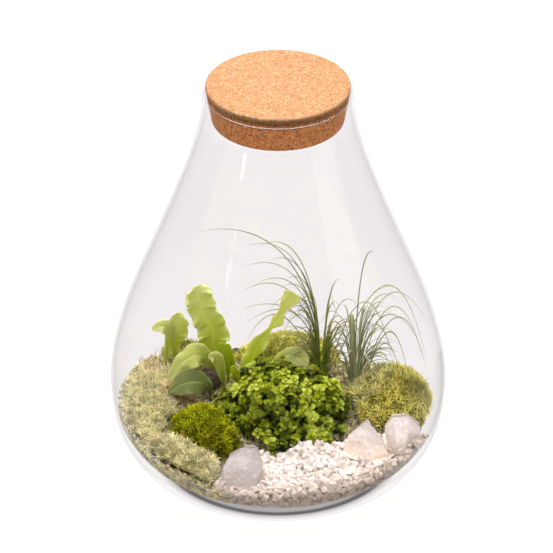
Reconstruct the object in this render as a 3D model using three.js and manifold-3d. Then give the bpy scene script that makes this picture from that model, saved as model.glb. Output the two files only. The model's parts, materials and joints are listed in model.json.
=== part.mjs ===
// A planted glass terrarium: a pear-shaped blown jar with a cork stopper, filled with soil, moss, white
// marble chips, three stones, a wavy strap fern, two tufts of grass and a low small-leaved bush.
// Millimetres, +Z up, origin at the middle of the jar's base. -Y is the front.
import * as THREE from 'three';
import { mergeVertices } from 'three/addons/utils/BufferGeometryUtils.js';
import { ConvexGeometry } from 'three/addons/geometries/ConvexGeometry.js';
import Module from 'manifold-3d';

const wasm = await Module();
wasm.setup();

// Driving dimensions
const JAR_RADIUS = 110;
const JAR_HEIGHT = 271.5;
const BASE_RADIUS = 84;
const FOOT_INNER_RADIUS = 58;
const BASE_KICK = 2;
const KICK_WIDTH = 8;
const FLOOR_HEIGHT = 7;
const WALL = 3.1;
const RIM_RADIUS = 49.1;
const RIM_ROUND = 1.2;
const RIM_FLAT = [0.35, 0.75];
const TURN_SEGMENTS = 36;
const CORK_HEIGHT = 26;
const CORK_PROUD = 5.9;
const CORK_TOP_RADIUS = 46.9;
const CORK_BOTTOM_RADIUS = 42.4;
const CORK_CHAMFER = 0.8;
const GAP = 0.35;
const BLADE = 0.8;

// Levels of the ground inside the jar
const SOIL_LEVEL = 31;
const MOSS_LEVEL = 33;
const GRAVEL_TOP = 31;
const GRAVEL_FLOOR = 6;
const ROOM_HEIGHT = 200;
const GROUND_FLOOR = -5;

// How deep stems stand in the soil, and the sides of their holes
const ROOT_DEPTH = 12;
const HOLE_SIDES = 6;
const HOLE_HEIGHT = 80;

// A repeatable random draw between two values
function seeded(seed) {
  let state = seed;
  return (low, high) => {
    state = (state * 1664525 + 1013904223) % 4294967296;
    return low + ((high - low) * state) / 4294967296;
  };
}

const v3 = (x, y, z) => new THREE.Vector3(x, y, z);
const v2 = (x, y) => new THREE.Vector2(x, y);

// Closed meshes as solids, and solids as meshes again
function solidFrom(positions, triangles) {
  const make = (list) => new wasm.Manifold(new wasm.Mesh({
    numProp: 3,
    vertProperties: new Float32Array(positions),
    triVerts: new Uint32Array(list),
  }));
  const solid = make(triangles);
  if (solid.volume() > 0) {
    return solid;
  }
  const turned = [];
  for (let i = 0; i < triangles.length; i += 3) {
    turned.push(triangles[i], triangles[i + 2], triangles[i + 1]);
  }
  return make(turned);
}

function solidOf(geometry) {
  const bare = geometry.clone();
  bare.deleteAttribute('normal');
  bare.deleteAttribute('uv');
  const merged = mergeVertices(bare, 1e-4);
  return solidFrom(merged.attributes.position.array, Array.from(merged.index.array));
}

function geometryOf(solid) {
  const mesh = solid.getMesh();
  const positions = new Float32Array(mesh.numVert * 3);
  for (let i = 0; i < mesh.numVert; i += 1) {
    for (let k = 0; k < 3; k += 1) {
      positions[i * 3 + k] = mesh.vertProperties[i * mesh.numProp + k];
    }
  }
  const geometry = new THREE.BufferGeometry();
  geometry.setAttribute('position', new THREE.BufferAttribute(positions, 3));
  geometry.setIndex(Array.from(mesh.triVerts));
  geometry.computeVertexNormals();
  return geometry;
}

// Only the largest body is kept, so that a cut leaves no loose scrap
function wholeBody(solid) {
  const bodies = solid.simplify(0.01).decompose();
  bodies.sort((a, b) => b.volume() - a.volume());
  return bodies[0];
}

// A closed skin through rings with the same number of points each, with a fan over either end
function ringSolid(rings) {
  const count = rings[0].length;
  const positions = [];
  const triangles = [];
  const middleOf = (ring) => ring.reduce((sum, p) => sum.add(p), v3(0, 0, 0)).divideScalar(count);
  for (const ring of rings) {
    for (const p of ring) {
      positions.push(p.x, p.y, p.z);
    }
  }
  const first = middleOf(rings[0]);
  const last = middleOf(rings[rings.length - 1]);
  positions.push(first.x, first.y, first.z, last.x, last.y, last.z);
  const firstIndex = rings.length * count;
  for (let k = 0; k < count; k += 1) {
    const next = (k + 1) % count;
    triangles.push(firstIndex, next, k);
    for (let i = 0; i + 1 < rings.length; i += 1) {
      const a = i * count + k;
      const b = i * count + next;
      triangles.push(a, b, b + count, a, b + count, a + count);
    }
    const base = (rings.length - 1) * count;
    triangles.push(firstIndex + 1, base + k, base + next);
  }
  return solidFrom(positions, triangles);
}

// A tube along points, with a radius at each point; the sides keep one direction, so it doesn't twist
function tube(points, radii, sides, flat = 1) {
  const side = v3(0, 0, 0);
  const rings = points.map((p, i) => {
    const ahead = points[Math.min(i + 1, points.length - 1)];
    const behind = points[Math.max(i - 1, 0)];
    const tangent = ahead.clone().sub(behind).normalize();
    if (side.lengthSq() === 0) {
      side.crossVectors(tangent, Math.abs(tangent.z) > 0.9 ? v3(0, 1, 0) : v3(0, 0, 1));
    }
    side.addScaledVector(tangent, -side.dot(tangent)).normalize();
    const across = tangent.clone().cross(side);
    return Array.from({ length: sides }, (_, k) => {
      const a = (2 * Math.PI * k) / sides;
      return p.clone()
        .addScaledVector(side, Math.cos(a) * radii[i])
        .addScaledVector(across, Math.sin(a) * radii[i] * flat);
    });
  });
  return ringSolid(rings);
}

// A leaf blade: rows of points across it, given an even thickness and split alike on both faces
function sheet(rows, thickness) {
  const high = rows.length;
  const wide = rows[0].length;
  const at = (i, j) => rows[Math.max(0, Math.min(high - 1, i))][Math.max(0, Math.min(wide - 1, j))];
  const positions = [];
  for (const sign of [0.5, -0.5]) {
    for (let i = 0; i < high; i += 1) {
      for (let j = 0; j < wide; j += 1) {
        const along = at(i + 1, j).clone().sub(at(i - 1, j));
        const over = at(i, j + 1).clone().sub(at(i, j - 1));
        const normal = along.cross(over).normalize();
        const p = at(i, j).clone().addScaledVector(normal, sign * thickness);
        positions.push(p.x, p.y, p.z);
      }
    }
  }
  const triangles = [];
  const under = high * wide;
  for (let i = 0; i + 1 < high; i += 1) {
    for (let j = 0; j + 1 < wide; j += 1) {
      const a = i * wide + j;
      const b = a + 1;
      const c = b + wide;
      const d = a + wide;
      triangles.push(a, b, c, a, c, d);
      triangles.push(under + a, under + c, under + b, under + a, under + d, under + c);
    }
  }
  const edge = [];
  for (let j = 0; j + 1 < wide; j += 1) {
    edge.push(j);
  }
  for (let i = 0; i + 1 < high; i += 1) {
    edge.push(i * wide + wide - 1);
  }
  for (let j = wide - 1; j > 0; j -= 1) {
    edge.push((high - 1) * wide + j);
  }
  for (let i = high - 1; i > 0; i -= 1) {
    edge.push(i * wide);
  }
  edge.forEach((a, k) => {
    const b = edge[(k + 1) % edge.length];
    triangles.push(b, a, under + a, b, under + a, under + b);
  });
  return solidFrom(positions, triangles);
}

// Smooth steps and bumps that shape the ground
const ramp = (from, to, value) => THREE.MathUtils.smoothstep(
  (value - from) / (to - from), 0, 1,
);
const bump = (x, y) => Math.exp(-(x * x) - y * y);

// The jar's two faces as curves of radius and height
const outerCurve = new THREE.SplineCurve([
  v2(BASE_RADIUS, 0), v2(91.3, 3.7), v2(99.7, 14.7), v2(106.8, 31.3), v2(JAR_RADIUS, 56),
  v2(108.2, 77.4), v2(102.1, 103.2), v2(92.4, 130.9), v2(80.4, 160.9), v2(68.2, 192.2),
  v2(57, 224.2), v2(50.6, 251), v2(RIM_RADIUS, JAR_HEIGHT - RIM_ROUND),
]);
const innerCurve = new THREE.SplineCurve([
  v2(60, FLOOR_HEIGHT), v2(80, 11), v2(91, 19.5), v2(99.5, 31.5), v2(104.6, 44),
  v2(JAR_RADIUS - WALL, 58), v2(105.1, 77.4), v2(99, 103.2), v2(89.3, 130.9), v2(77.3, 160.9),
  v2(65.1, 192.2), v2(53.9, 224.2), v2(47.6, 250), v2(RIM_RADIUS - WALL, JAR_HEIGHT - 2),
]);
const OUTER_STEPS = 12;
const INNER_STEPS = 13;

function glassJar() {
  const profile = [
    v2(0, BASE_KICK), v2(FOOT_INNER_RADIUS - KICK_WIDTH, BASE_KICK), v2(FOOT_INNER_RADIUS, 0),
    ...outerCurve.getPoints(OUTER_STEPS),
    ...RIM_FLAT.map((share) => v2(RIM_RADIUS - WALL * share, JAR_HEIGHT)),
    ...innerCurve.getPoints(INNER_STEPS).reverse(),
    v2(0, FLOOR_HEIGHT),
  ];
  return solidOf(new THREE.LatheGeometry(profile, TURN_SEGMENTS).rotateX(Math.PI / 2));
}

// The room inside the jar, a gap clear of the glass, up to a height above the ground
function jarRoom(gap) {
  const points = innerCurve.getPoints(INNER_STEPS).filter((p) => p.y < ROOM_HEIGHT);
  const inward = points.map((p, i) => {
    const ahead = points[Math.min(i + 1, points.length - 1)];
    const behind = points[Math.max(i - 1, 0)];
    const along = ahead.clone().sub(behind).normalize();
    return v2(p.x - along.y * gap, p.y + along.x * gap);
  });
  const profile = [v2(0, inward[0].y), ...inward, v2(0, inward[inward.length - 1].y)];
  return solidOf(new THREE.LatheGeometry(profile, TURN_SEGMENTS).rotateX(Math.PI / 2));
}

function corkStopper() {
  const top = JAR_HEIGHT + CORK_PROUD;
  const low = top - CORK_HEIGHT;
  const profile = [
    v2(0, low), v2(CORK_BOTTOM_RADIUS - CORK_CHAMFER, low), v2(CORK_BOTTOM_RADIUS, low + CORK_CHAMFER),
    v2(CORK_TOP_RADIUS, top - CORK_CHAMFER), v2(CORK_TOP_RADIUS - CORK_CHAMFER, top), v2(0, top),
  ];
  return solidOf(new THREE.LatheGeometry(profile, TURN_SEGMENTS).rotateX(Math.PI / 2));
}

// Height of the soil: a bank at the left, planting ground in the middle, low at the back right and
// under the gravel
function soilTop(x, y) {
  const bank = 9 * bump((x + 80) / 42, (y - 12) / 60);
  const middle = 5 * bump((x - 5) / 55, (y - 32) / 32);
  const back = 15 * ramp(45, 95, y) * (0.35 + 0.65 * ramp(-70, 50, x));
  const front = 8 * ramp(-26, -60, y) * ramp(-60, -30, x);
  return SOIL_LEVEL + bank + middle - back - front;
}

// A block of ground from deep below up to a height that is a function of the place
function groundBlock(heightAt, rings, segments) {
  const reach = JAR_RADIUS + 4;
  const list = [];
  const circle = (share, height) => Array.from({ length: segments }, (_, k) => {
    const a = (2 * Math.PI * k) / segments;
    const x = reach * share * Math.sin(a);
    const y = reach * share * -Math.cos(a);
    return v3(x, y, height(x, y));
  });
  list.push(circle(1, () => GROUND_FLOOR));
  for (let i = rings; i > 0; i -= 1) {
    list.push(circle(i / rings, heightAt));
  }
  return ringSolid(list);
}

// The rings of a moss cushion, as shares of its outline, and the points on each
const MOSS_RINGS = [1, 0.93, 0.78, 0.58, 0.34, 0.14];
const MOSS_SEGMENTS = 20;
const MOSS_TUFT = 1;

// A moss cushion: a rounded mound on an oval outline, raised in small tufts by a formula
function mossMound({ x, y, rx, ry, turn, height, phase, bottom = 10 }, grow = 0) {
  const ca = Math.cos(turn);
  const sa = Math.sin(turn);
  const ringAt = (share, level) => Array.from({ length: MOSS_SEGMENTS }, (_, k) => {
    const a = (2 * Math.PI * k) / MOSS_SEGMENTS;
    const waver = 1 + 0.05 * Math.sin(3 * a + phase) + 0.03 * Math.sin(7 * a + 2 * phase);
    const u = (rx * waver + grow) * share * Math.cos(a);
    const v = (ry * waver + grow) * share * Math.sin(a);
    const px = x + u * ca - v * sa;
    const py = y + u * sa + v * ca;
    return v3(px, py, level(px, py, share));
  });
  const top = (px, py, share) => {
    const dome = height * Math.sqrt(Math.max(0, 1 - share * share * 0.94));
    const tuft = MOSS_TUFT * (Math.sin(px * 0.83 + phase) * Math.cos(py * 0.91 - phase)
      + 0.6 * Math.sin(px * 0.47 + py * 0.55 + phase));
    return MOSS_LEVEL + dome - 3 * share + tuft * Math.min(1, 2 * share) + grow;
  };
  return ringSolid([ringAt(1, () => bottom), ...MOSS_RINGS.map((share) => ringAt(share, top))]);
}

const mossPlan = {
  moss_front_left: { x: -47, y: -32, rx: 26, ry: 25, turn: 0.3, height: 18, phase: 1.7 },
  moss_right: { x: 75, y: 6, rx: 31, ry: 35, turn: 0, height: 21, phase: 4.2 },
  moss_back_centre: { x: 6, y: 62, rx: 36, ry: 21, turn: 0.1, height: 17, phase: 2.9, bottom: 8 },
  moss_left_bank: { x: -86, y: 4, rx: 29, ry: 54, turn: -0.1, height: 15, phase: 0.4 },
  moss_back_left: { x: -56, y: 52, rx: 27, ry: 19, turn: -0.6, height: 16, phase: 5.3 },
  moss_front_slope: { x: -66, y: -58, rx: 35, ry: 22, turn: -0.8, height: 10, phase: 3.3 },
};

// The gravel: a bed on a plan outline, covered in angular chips
const gravelPlan = [
  [-44, -100], [-39, -84], [-31, -66], [-13, -55], [3, -47], [18, -44], [36, -42], [46, -36],
  [54, -24], [62, -32], [78, -34], [104, -30], [112, -70], [60, -116], [0, -120],
];
const CHIP = 8.8;
const CHIP_START = v2(-46, -101);
const CHIP_ROWS = 12;
const CHIP_COLUMNS = 20;
const CHIP_REACH = 101;
const CORNER_SIGNS = [-1, 1].flatMap((i) => [-1, 1].flatMap((j) => [-1, 1].map((k) => [i, j, k])));

const gravelHeight = (x, y) => GRAVEL_TOP + 3 * ramp(-95, -45, y) + 1.2 * Math.sin(x * 0.09);

function insidePlan(plan, x, y) {
  let inside = false;
  plan.forEach(([ax, ay], k) => {
    const [bx, by] = plan[(k + 1) % plan.length];
    if ((ay > y) !== (by > y) && x < ax + ((bx - ax) * (y - ay)) / (by - ay)) {
      inside = !inside;
    }
  });
  return inside;
}

function gravelChip(x, y, z, draw) {
  const half = v3(CHIP * draw(0.42, 0.6), CHIP * draw(0.36, 0.5), CHIP * draw(0.28, 0.42));
  const turn = new THREE.Euler(draw(-0.7, 0.7), draw(-0.7, 0.7), draw(0, Math.PI));
  const corners = [];
  for (const [i, j, k] of CORNER_SIGNS) {
    const corner = v3(i * draw(0.55, 1), j * draw(0.55, 1), k * draw(0.6, 1)).multiply(half);
    corners.push(corner.applyEuler(turn).add(v3(x, y, z)));
  }
  return solidOf(new ConvexGeometry(corners));
}

function gravelBed() {
  const draw = seeded(31);
  const outline = new THREE.Shape(gravelPlan.map(([x, y]) => v2(x, y)));
  const slab = solidOf(new THREE.ExtrudeGeometry(outline, {
    depth: GRAVEL_TOP - GRAVEL_FLOOR, bevelEnabled: false,
  })).translate([0, 0, GRAVEL_FLOOR]);
  const chips = [];
  const step = CHIP * 1.08;
  for (let row = 0; row < CHIP_ROWS; row += 1) {
    for (let column = 0; column < CHIP_COLUMNS; column += 1) {
      const x = CHIP_START.x + (column + (row % 2) / 2) * step + draw(-1, 1);
      const y = CHIP_START.y + row * step * 0.85 + draw(-1, 1);
      const underBush = ((x - BUSH.x) / (BUSH.rx + 8)) ** 2 + ((y - BUSH.y) / (BUSH.ry + 8)) ** 2 < 1;
      if (insidePlan(gravelPlan, x, y) && Math.hypot(x, y) < CHIP_REACH && !underBush) {
        chips.push(gravelChip(x, y, gravelHeight(x, y) - 1, draw));
      }
    }
  }
  return wasm.Manifold.union([slab, ...chips]);
}

// Faceted stones, each the hull of its corners
const stoneCorners = {
  stone_left: [
    [-39, -78, 28], [-36, -88, 29], [-27, -92, 28], [-14, -92, 28], [-10, -82, 29], [-11, -72, 31],
    [-22, -68, 30], [-35, -70, 29], [-36, -82, 40], [-31, -76, 47], [-23, -74, 51], [-15, -76, 53.5],
    [-11, -78, 48], [-9, -81, 40], [-20, -88, 42], [-14, -90, 33], [-30, -87, 38],
  ],
  stone_middle: [
    [42, -52, 30], [47, -59, 30], [59, -62, 29], [70, -58, 29], [66, -45, 30], [56, -39, 30],
    [44, -43, 31], [56, -48, 55], [45.5, -46, 42], [58, -50, 53.5], [66, -52, 42], [50, -56, 38],
  ],
  stone_right: [
    [71, -43, 30], [75, -51, 28], [80, -52, 29], [87, -39, 29], [86, -30, 30], [75, -30, 30],
    [70, -38, 42], [75, -36, 50.5], [83, -35, 50], [90, -32, 41], [91, -34, 34], [84, -44, 40],
    [77, -49, 37],
  ],
};

// About how far a stone's faces lie from its middle
const STONE_REACH = 8;

function stone(corners, grow = 0) {
  const middle = corners.reduce((sum, [x, y, z]) => sum.add(v3(x, y, z)), v3(0, 0, 0))
    .divideScalar(corners.length);
  const points = corners.map(([x, y, z]) => {
    const out = v3(x, y, z).sub(middle);
    return middle.clone().add(out.multiplyScalar(1 + grow / STONE_REACH));
  });
  return solidOf(new ConvexGeometry(points));
}

// Every stem that stands in the ground, for the holes in the soil and the moss
const stems = [];

function rootedStem(x, y, radius, top) {
  stems.push({ x, y, radius });
  const foot = v3(x, y, soilTop(x, y) - ROOT_DEPTH);
  return [foot, v3(x, y, top)];
}

function stemHole({ x, y, radius }) {
  const floor = soilTop(x, y) - ROOT_DEPTH - GAP;
  const wide = (radius + GAP) / Math.cos(Math.PI / HOLE_SIDES);
  const hole = new THREE.CylinderGeometry(wide, wide, HOLE_HEIGHT, HOLE_SIDES);
  return solidOf(hole.rotateX(Math.PI / 2).translate(x, y, floor + HOLE_HEIGHT / 2));
}

// Fern fronds: each has a root place, a path of the midrib, half-widths to the left and right of it
// along that path, the way its upper face looks, and a ruffled margin
const frondPlan = {
  fern_frond_tall: {
    path: [[-36, 31, 45], [-38, 31, 58], [-42, 32, 71], [-48, 33, 84], [-51, 34, 95], [-52, 34, 105]],
    left: [1.6, 7, 9, 11, 9, 2.5], right: [1.6, 7, 10, 10, 8, 3],
    facing: [0.2, -1, 0.25], ruffle: 2.6, waves: 3.2, rows: 11,
  },
  fern_frond_back_left: {
    path: [[-69, 44, 46], [-69, 43, 58], [-68, 43, 68], [-66, 43, 75], [-66, 43, 81]],
    left: [1.4, 4, 6.5, 5.5, 1.5], right: [1.4, 4.5, 6.5, 5.5, 2],
    facing: [0.1, -1, 0.3], ruffle: 1.8, waves: 2, rows: 7,
  },
  fern_frond_far_left: {
    path: [[-75, 38, 46], [-76, 37, 58], [-80, 36, 66], [-85, 34, 69]],
    left: [1.2, 2.5, 3.6, 1], right: [1.2, 2.5, 3.4, 1],
    facing: [0.3, -0.8, 0.6], ruffle: 0.8, waves: 1.5, rows: 6,
  },
  fern_frond_arching: {
    path: [[-42, 21, 44], [-46, 20, 57], [-54, 17, 63.5], [-63, 13, 62], [-72, 8, 52]],
    left: [1.4, 4, 7.5, 8.5, 1.5], right: [1.4, 4, 7.5, 8, 1.5],
    facing: [-0.25, -0.75, 0.7], ruffle: 1.4, waves: 2, rows: 8,
  },
  fern_frond_shaded: {
    path: [[-45, 4, 44], [-50, 2, 51], [-60, -1, 53], [-72, -5, 50]],
    left: [1.4, 6, 8, 2], right: [1.4, 6, 8, 2],
    facing: [-0.1, -0.7, 0.8], ruffle: 1.2, waves: 1.6, rows: 7,
  },
  fern_frond_right: {
    path: [[-23, 19, 42], [-18, 20, 57], [-12, 21, 70], [-5, 22, 81], [2, 23, 92], [9, 24, 104]],
    left: [1.8, 7, 6.5, 2.2, 5, 7], right: [1.8, 7, 6, 2.4, 4, 5],
    facing: [-0.25, -1, 0.25], ruffle: 1.8, waves: 2.8, rows: 11,
  },
  fern_frond_upright: {
    path: [[-31, 24, 44], [-33, 24, 55], [-36, 25, 68]],
    left: [1.3, 3, 1.6], right: [1.3, 3, 1.6],
    facing: [0.3, -1, 0.2], ruffle: 0.8, waves: 1.2, rows: 5,
  },
  fern_frond_slender: {
    path: [[-28, 29, 44], [-29, 28, 55], [-30.5, 28, 66]],
    left: [1.2, 2.2, 1.2], right: [1.2, 2.2, 1.2],
    facing: [-0.2, -1, 0.2], ruffle: 0.6, waves: 1.2, rows: 5,
  },
  fern_frond_round: {
    path: [[-9, 29, 42], [-4, 28, 49], [4, 27, 56], [12, 26, 56], [20, 25, 50.5]],
    left: [1.2, 1.6, 4, 6.5, 3], right: [1.2, 1.6, 4, 6.5, 3],
    facing: [0, -0.75, 0.75], ruffle: 0.8, waves: 1.6, rows: 8,
  },
  fern_frond_curled: {
    path: [[-36, 13, 44], [-38, 11, 57], [-41, 10, 65], [-46, 9, 67]],
    left: [1.2, 3.2, 4, 1.4], right: [1.2, 3.2, 4, 1.4],
    facing: [0.1, -1, 0.5], ruffle: 1.3, waves: 1.6, rows: 6,
  },
};
const FROND_COLUMNS = 5;
const FROND_STALK = 1.1;

function valueAlong(values, t) {
  const place = t * (values.length - 1);
  const i = Math.min(Math.floor(place), values.length - 2);
  return THREE.MathUtils.lerp(values[i], values[i + 1], place - i);
}

function fernFrond({ path, left, right, facing, ruffle, waves, rows }) {
  const spine = new THREE.CatmullRomCurve3(path.map(([x, y, z]) => v3(x, y, z)));
  const face = v3(...facing).normalize();
  const list = [];
  for (let i = 0; i < rows; i += 1) {
    const t = i / (rows - 1);
    const tangent = spine.getTangent(t);
    const across = tangent.clone().cross(face).normalize();
    const up = across.clone().cross(tangent).normalize();
    const row = [];
    for (let j = 0; j < FROND_COLUMNS; j += 1) {
      const u = (2 * j) / (FROND_COLUMNS - 1) - 1;
      const half = valueAlong(u < 0 ? left : right, t);
      const wave = Math.sin(2 * Math.PI * waves * t + (u < 0 ? 0 : 1.9));
      const lift = ruffle * u * u * wave * Math.min(1, half / 5);
      const reach = half * u * (1 + 0.1 * wave * Math.abs(u));
      row.push(spine.getPoint(t).addScaledVector(across, reach).addScaledVector(up, lift));
    }
    list.push(row);
  }
  const [x, y, z] = path[0];
  const stalk = rootedStem(x, y, FROND_STALK, z - 1);
  stalk.push(spine.getPoint(0.12));
  return sheet(list, BLADE).add(tube(stalk, [FROND_STALK, FROND_STALK, 0.7], 4));
}

// Grass: every blade springs from a tuft's foot in a compass direction, rises to a peak and droops to
// its tip. A row gives the direction in degrees from +X, the reach, the tip's height over the foot,
// the peak's height over the foot, and optionally the blade's width
const grassPlan = {
  grass_tuft_left: {
    x: 29, y: 36, seed: 5, fill: 5,
    blades: [
      [184, 62, 100, 101, 1.5], [171, 40, 93, 96, 1.5], [188, 53, 72, 76], [176, 59, 50, 62],
      [196, 35, 44, 52], [183, 54, 41, 44], [192, 49, 33, 40], [178, 50, 12, 37, 1.5],
      [199, 34, 11, 24], [186, 35, 22, 27], [172, 24, 30, 33], [150, 8, 50, 51],
      [35, 13, 66, 67], [2, 64, 14, 56, 1.4], [62, 20, 30, 34],
    ],
  },
  grass_tuft_right: {
    x: 51, y: 24, seed: 12, fill: 4,
    blades: [
      [14, 12, 98, 99, 1.5], [120, 4, 50, 51, 3.4], [356, 40, 63, 69], [348, 42, 26, 59, 1.4],
      [4, 39, 44, 49], [352, 33, 15, 42, 1.4], [344, 41, 20, 40], [358, 26, 18, 31],
      [335, 27, 23, 30], [246, 16, 30, 32], [300, 20, 24, 28],
    ],
  },
};
const TUFT_RADIUS = 4.5;
const BLADE_STEPS = 8;

function grassBlade(foot, [degrees, reach, tip, peak, width = 1.2]) {
  const way = THREE.MathUtils.degToRad(degrees);
  const rise = 2 * (peak + Math.sqrt(peak * (peak - tip)));
  const points = [];
  const radii = [];
  for (let i = 0; i <= BLADE_STEPS; i += 1) {
    const t = i / BLADE_STEPS;
    const out = reach * t ** 1.8;
    points.push(v3(
      foot.x + out * Math.cos(way),
      foot.y + out * Math.sin(way),
      foot.z + rise * t - (rise - tip) * t * t,
    ));
    radii.push(Math.max(0.42, 0.5 * width * (1.05 - t ** 3)));
  }
  return tube(points, radii, 3, 0.75);
}

function grassTuft({ x, y, seed, fill, blades }) {
  const draw = seeded(seed);
  const ground = soilTop(x, y);
  const foot = rootedStem(x, y, TUFT_RADIUS, ground + 7);
  const solids = [tube([...foot, v3(x, y, ground + 12)], [TUFT_RADIUS, TUFT_RADIUS, 2.4], 7)];
  const all = [...blades];
  for (let i = 0; i < fill; i += 1) {
    const peak = draw(28, 60);
    all.push([(i % 2 ? 40 : 220) + draw(0, 100), draw(14, 26), peak * draw(0.7, 0.98), peak, 1.2]);
  }
  all.forEach((blade, k) => {
    const [degrees, , , peak] = blade;
    const way = THREE.MathUtils.degToRad(degrees);
    const outward = TUFT_RADIUS * (0.75 - 0.7 * Math.min(1, peak / 90));
    const aside = TUFT_RADIUS * 0.16 * ((k * 3) % 7 - 3);
    const start = v3(
      x + outward * Math.cos(way) - aside * Math.sin(way),
      y + outward * Math.sin(way) + aside * Math.cos(way),
      ground + 3.5,
    );
    solids.push(grassBlade(start, blade));
  });
  return wasm.Manifold.union(solids);
}

// The bush: low leafy lumps, each a small core with toothed leaves in rosettes on short stalks that
// stand out of it. The rosettes share one rounded outline, a place apart, so that they don't cross
const BUSH = { x: 4, y: -11, rx: 42, ry: 28, top: 37, foot: 31 };
const bushPlan = {
  bush_spray_front_left: { x: -22, y: -18, radius: 8 },
  bush_spray_front_middle: { x: 4, y: -24, radius: 8.5 },
  bush_spray_front_right: { x: 30, y: -18, radius: 8 },
  bush_spray_back_left: { x: -11, y: 1, radius: 9 },
  bush_spray_back_right: { x: 19, y: 1, radius: 9 },
};
const STALK_RADIUS = 1.6;
const ROSETTE = 8;
const ROSETTE_SPACING = 10.2;
const CORE_DEPTH = 13;
const LEAVES = 5;
const HUB_SIDES = 3;
const LEAF_OUTLINE = [[0.82, -0.44], [1, -0.04], [0.84, 0.42], [0.5, 0.63]];

const bushHeight = (x, y) => {
  const u = (x - BUSH.x) / BUSH.rx;
  const v = (y - BUSH.y) / BUSH.ry;
  return BUSH.foot + 3 + BUSH.top * Math.sqrt(Math.max(0, 1 - u * u - v * v));
};

// One rosette: leaves that arch from the middle and thin out to their edges, on a three-sided stalk
// that runs down from its hub to a point inside the core
function rosette(centre, normal, root, size, draw) {
  const spin = draw(0, 2 * Math.PI);
  const up = normal.clone().normalize();
  const side = v3(0.31, 0.95, 0).cross(up).normalize();
  const front = up.clone().cross(side);
  const place = (u, v, w) => centre.clone().addScaledVector(side, u)
    .addScaledVector(front, v).addScaledVector(up, w);
  const outline = [];
  for (let leaf = 0; leaf < LEAVES; leaf += 1) {
    const middle = spin + (2 * Math.PI * leaf) / LEAVES;
    const length = size * draw(0.9, 1.08);
    const tilt = draw(-0.2, 0.3);
    for (const [share, turn] of LEAF_OUTLINE) {
      const a = middle + turn;
      const r = length * share;
      outline.push([Math.cos(a) * r, Math.sin(a) * r, r * tilt + 0.9 - 1.6 * share * share]);
    }
  }
  const count = outline.length;
  const hubAt = (k) => Math.floor((k * HUB_SIDES) / count) % HUB_SIDES;
  const hubWay = (j) => spin + (2 * Math.PI * (j + 0.5)) / HUB_SIDES;
  const points = outline.map(([u, v, w]) => place(u, v, w));
  points.push(place(0, 0, BLADE));
  for (let j = 0; j < HUB_SIDES; j += 1) {
    points.push(place(Math.cos(hubWay(j)), Math.sin(hubWay(j)), -BLADE));
  }
  for (let j = 0; j < HUB_SIDES; j += 1) {
    points.push(root.clone()
      .addScaledVector(side, 0.8 * Math.cos(hubWay(j)))
      .addScaledVector(front, 0.8 * Math.sin(hubWay(j))));
  }
  const hub = count + 1;
  const end = hub + HUB_SIDES;
  const triangles = [];
  for (let k = 0; k < count; k += 1) {
    const next = (k + 1) % count;
    triangles.push(count, k, next, next, k, hub + hubAt(k));
    if (hubAt(next) !== hubAt(k)) {
      triangles.push(hub + hubAt(next), next, hub + hubAt(k));
    }
  }
  for (let j = 0; j < HUB_SIDES; j += 1) {
    const next = (j + 1) % HUB_SIDES;
    triangles.push(hub + next, hub + j, end + j, hub + next, end + j, end + next);
  }
  triangles.push(end, end + 2, end + 1);
  return solidFrom(points.flatMap((p) => [p.x, p.y, p.z]), triangles);
}

function nearestSpray(x, y) {
  const away = (name) => Math.hypot(x - bushPlan[name].x, y - bushPlan[name].y);
  return Object.keys(bushPlan).reduce((best, name) => (away(name) < away(best) ? name : best));
}

// Places for the rosettes, a spacing apart. Those beside another spray are small enough to stay clear
// of it
function bushPlaces() {
  const draw = seeded(77);
  const places = [];
  for (let tries = 0; tries < 9000; tries += 1) {
    const share = Math.sin(draw(0, 0.49 * Math.PI));
    const way = draw(0, 2 * Math.PI);
    const x = BUSH.x + BUSH.rx * share * Math.cos(way);
    const y = BUSH.y + BUSH.ry * share * Math.sin(way);
    const at = v3(x, y, bushHeight(x, y));
    if (places.every((other) => other.at.distanceTo(at) > ROSETTE_SPACING)) {
      places.push({ at, spray: nearestSpray(x, y) });
    }
  }
  return places.map(({ at, spray }) => {
    const others = places.filter((other) => other.spray !== spray);
    const clear = Math.min(...others.map((other) => other.at.distanceTo(at)));
    return { at, spray, size: Math.min(ROSETTE, clear * 0.46) };
  });
}

function bushSprays() {
  const draw = seeded(9);
  const names = Object.keys(bushPlan);
  const sprays = Object.fromEntries(names.map((name) => {
    const { x, y, radius } = bushPlan[name];
    const ground = soilTop(x, y);
    const height = bushHeight(x, y) - CORE_DEPTH - ground;
    const core = new THREE.IcosahedronGeometry(1, 1).scale(radius, radius, height / 2 - 1);
    return [name, [solidOf(core.translate(x, y, ground + height / 2 + 1.2))]];
  }));
  for (const { at, spray, size } of bushPlaces()) {
    const { x, y } = bushPlan[spray];
    const heart = v3(x, y, soilTop(x, y) + (bushHeight(x, y) - soilTop(x, y)) * 0.45);
    const normal = v3(at.x - BUSH.x, (at.y - BUSH.y) * 1.4, 34).normalize();
    sprays[spray].push(rosette(at, normal, at.clone().lerp(heart, 0.8), size, draw));
  }
  return Object.fromEntries(names.map((name) => {
    const { x, y } = bushPlan[name];
    const stalk = tube(rootedStem(x, y, STALK_RADIUS, soilTop(x, y) + 8), [STALK_RADIUS, STALK_RADIUS], 6);
    return [name, wasm.Manifold.union(sprays[name]).subtract(soilClear).add(stalk)];
  }));
}

const soilBlock = groundBlock(soilTop, 7, TURN_SEGMENTS);
const soilClear = soilBlock.translate([0, 0, GAP]);

// Plants first, so that every stem's hole is known
const fronds = Object.fromEntries(
  Object.entries(frondPlan).map(([name, plan]) => [name, fernFrond(plan)]),
);
const tufts = Object.fromEntries(
  Object.entries(grassPlan).map(([name, plan]) => [name, grassTuft(plan)]),
);
const sprays = bushSprays();

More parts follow.
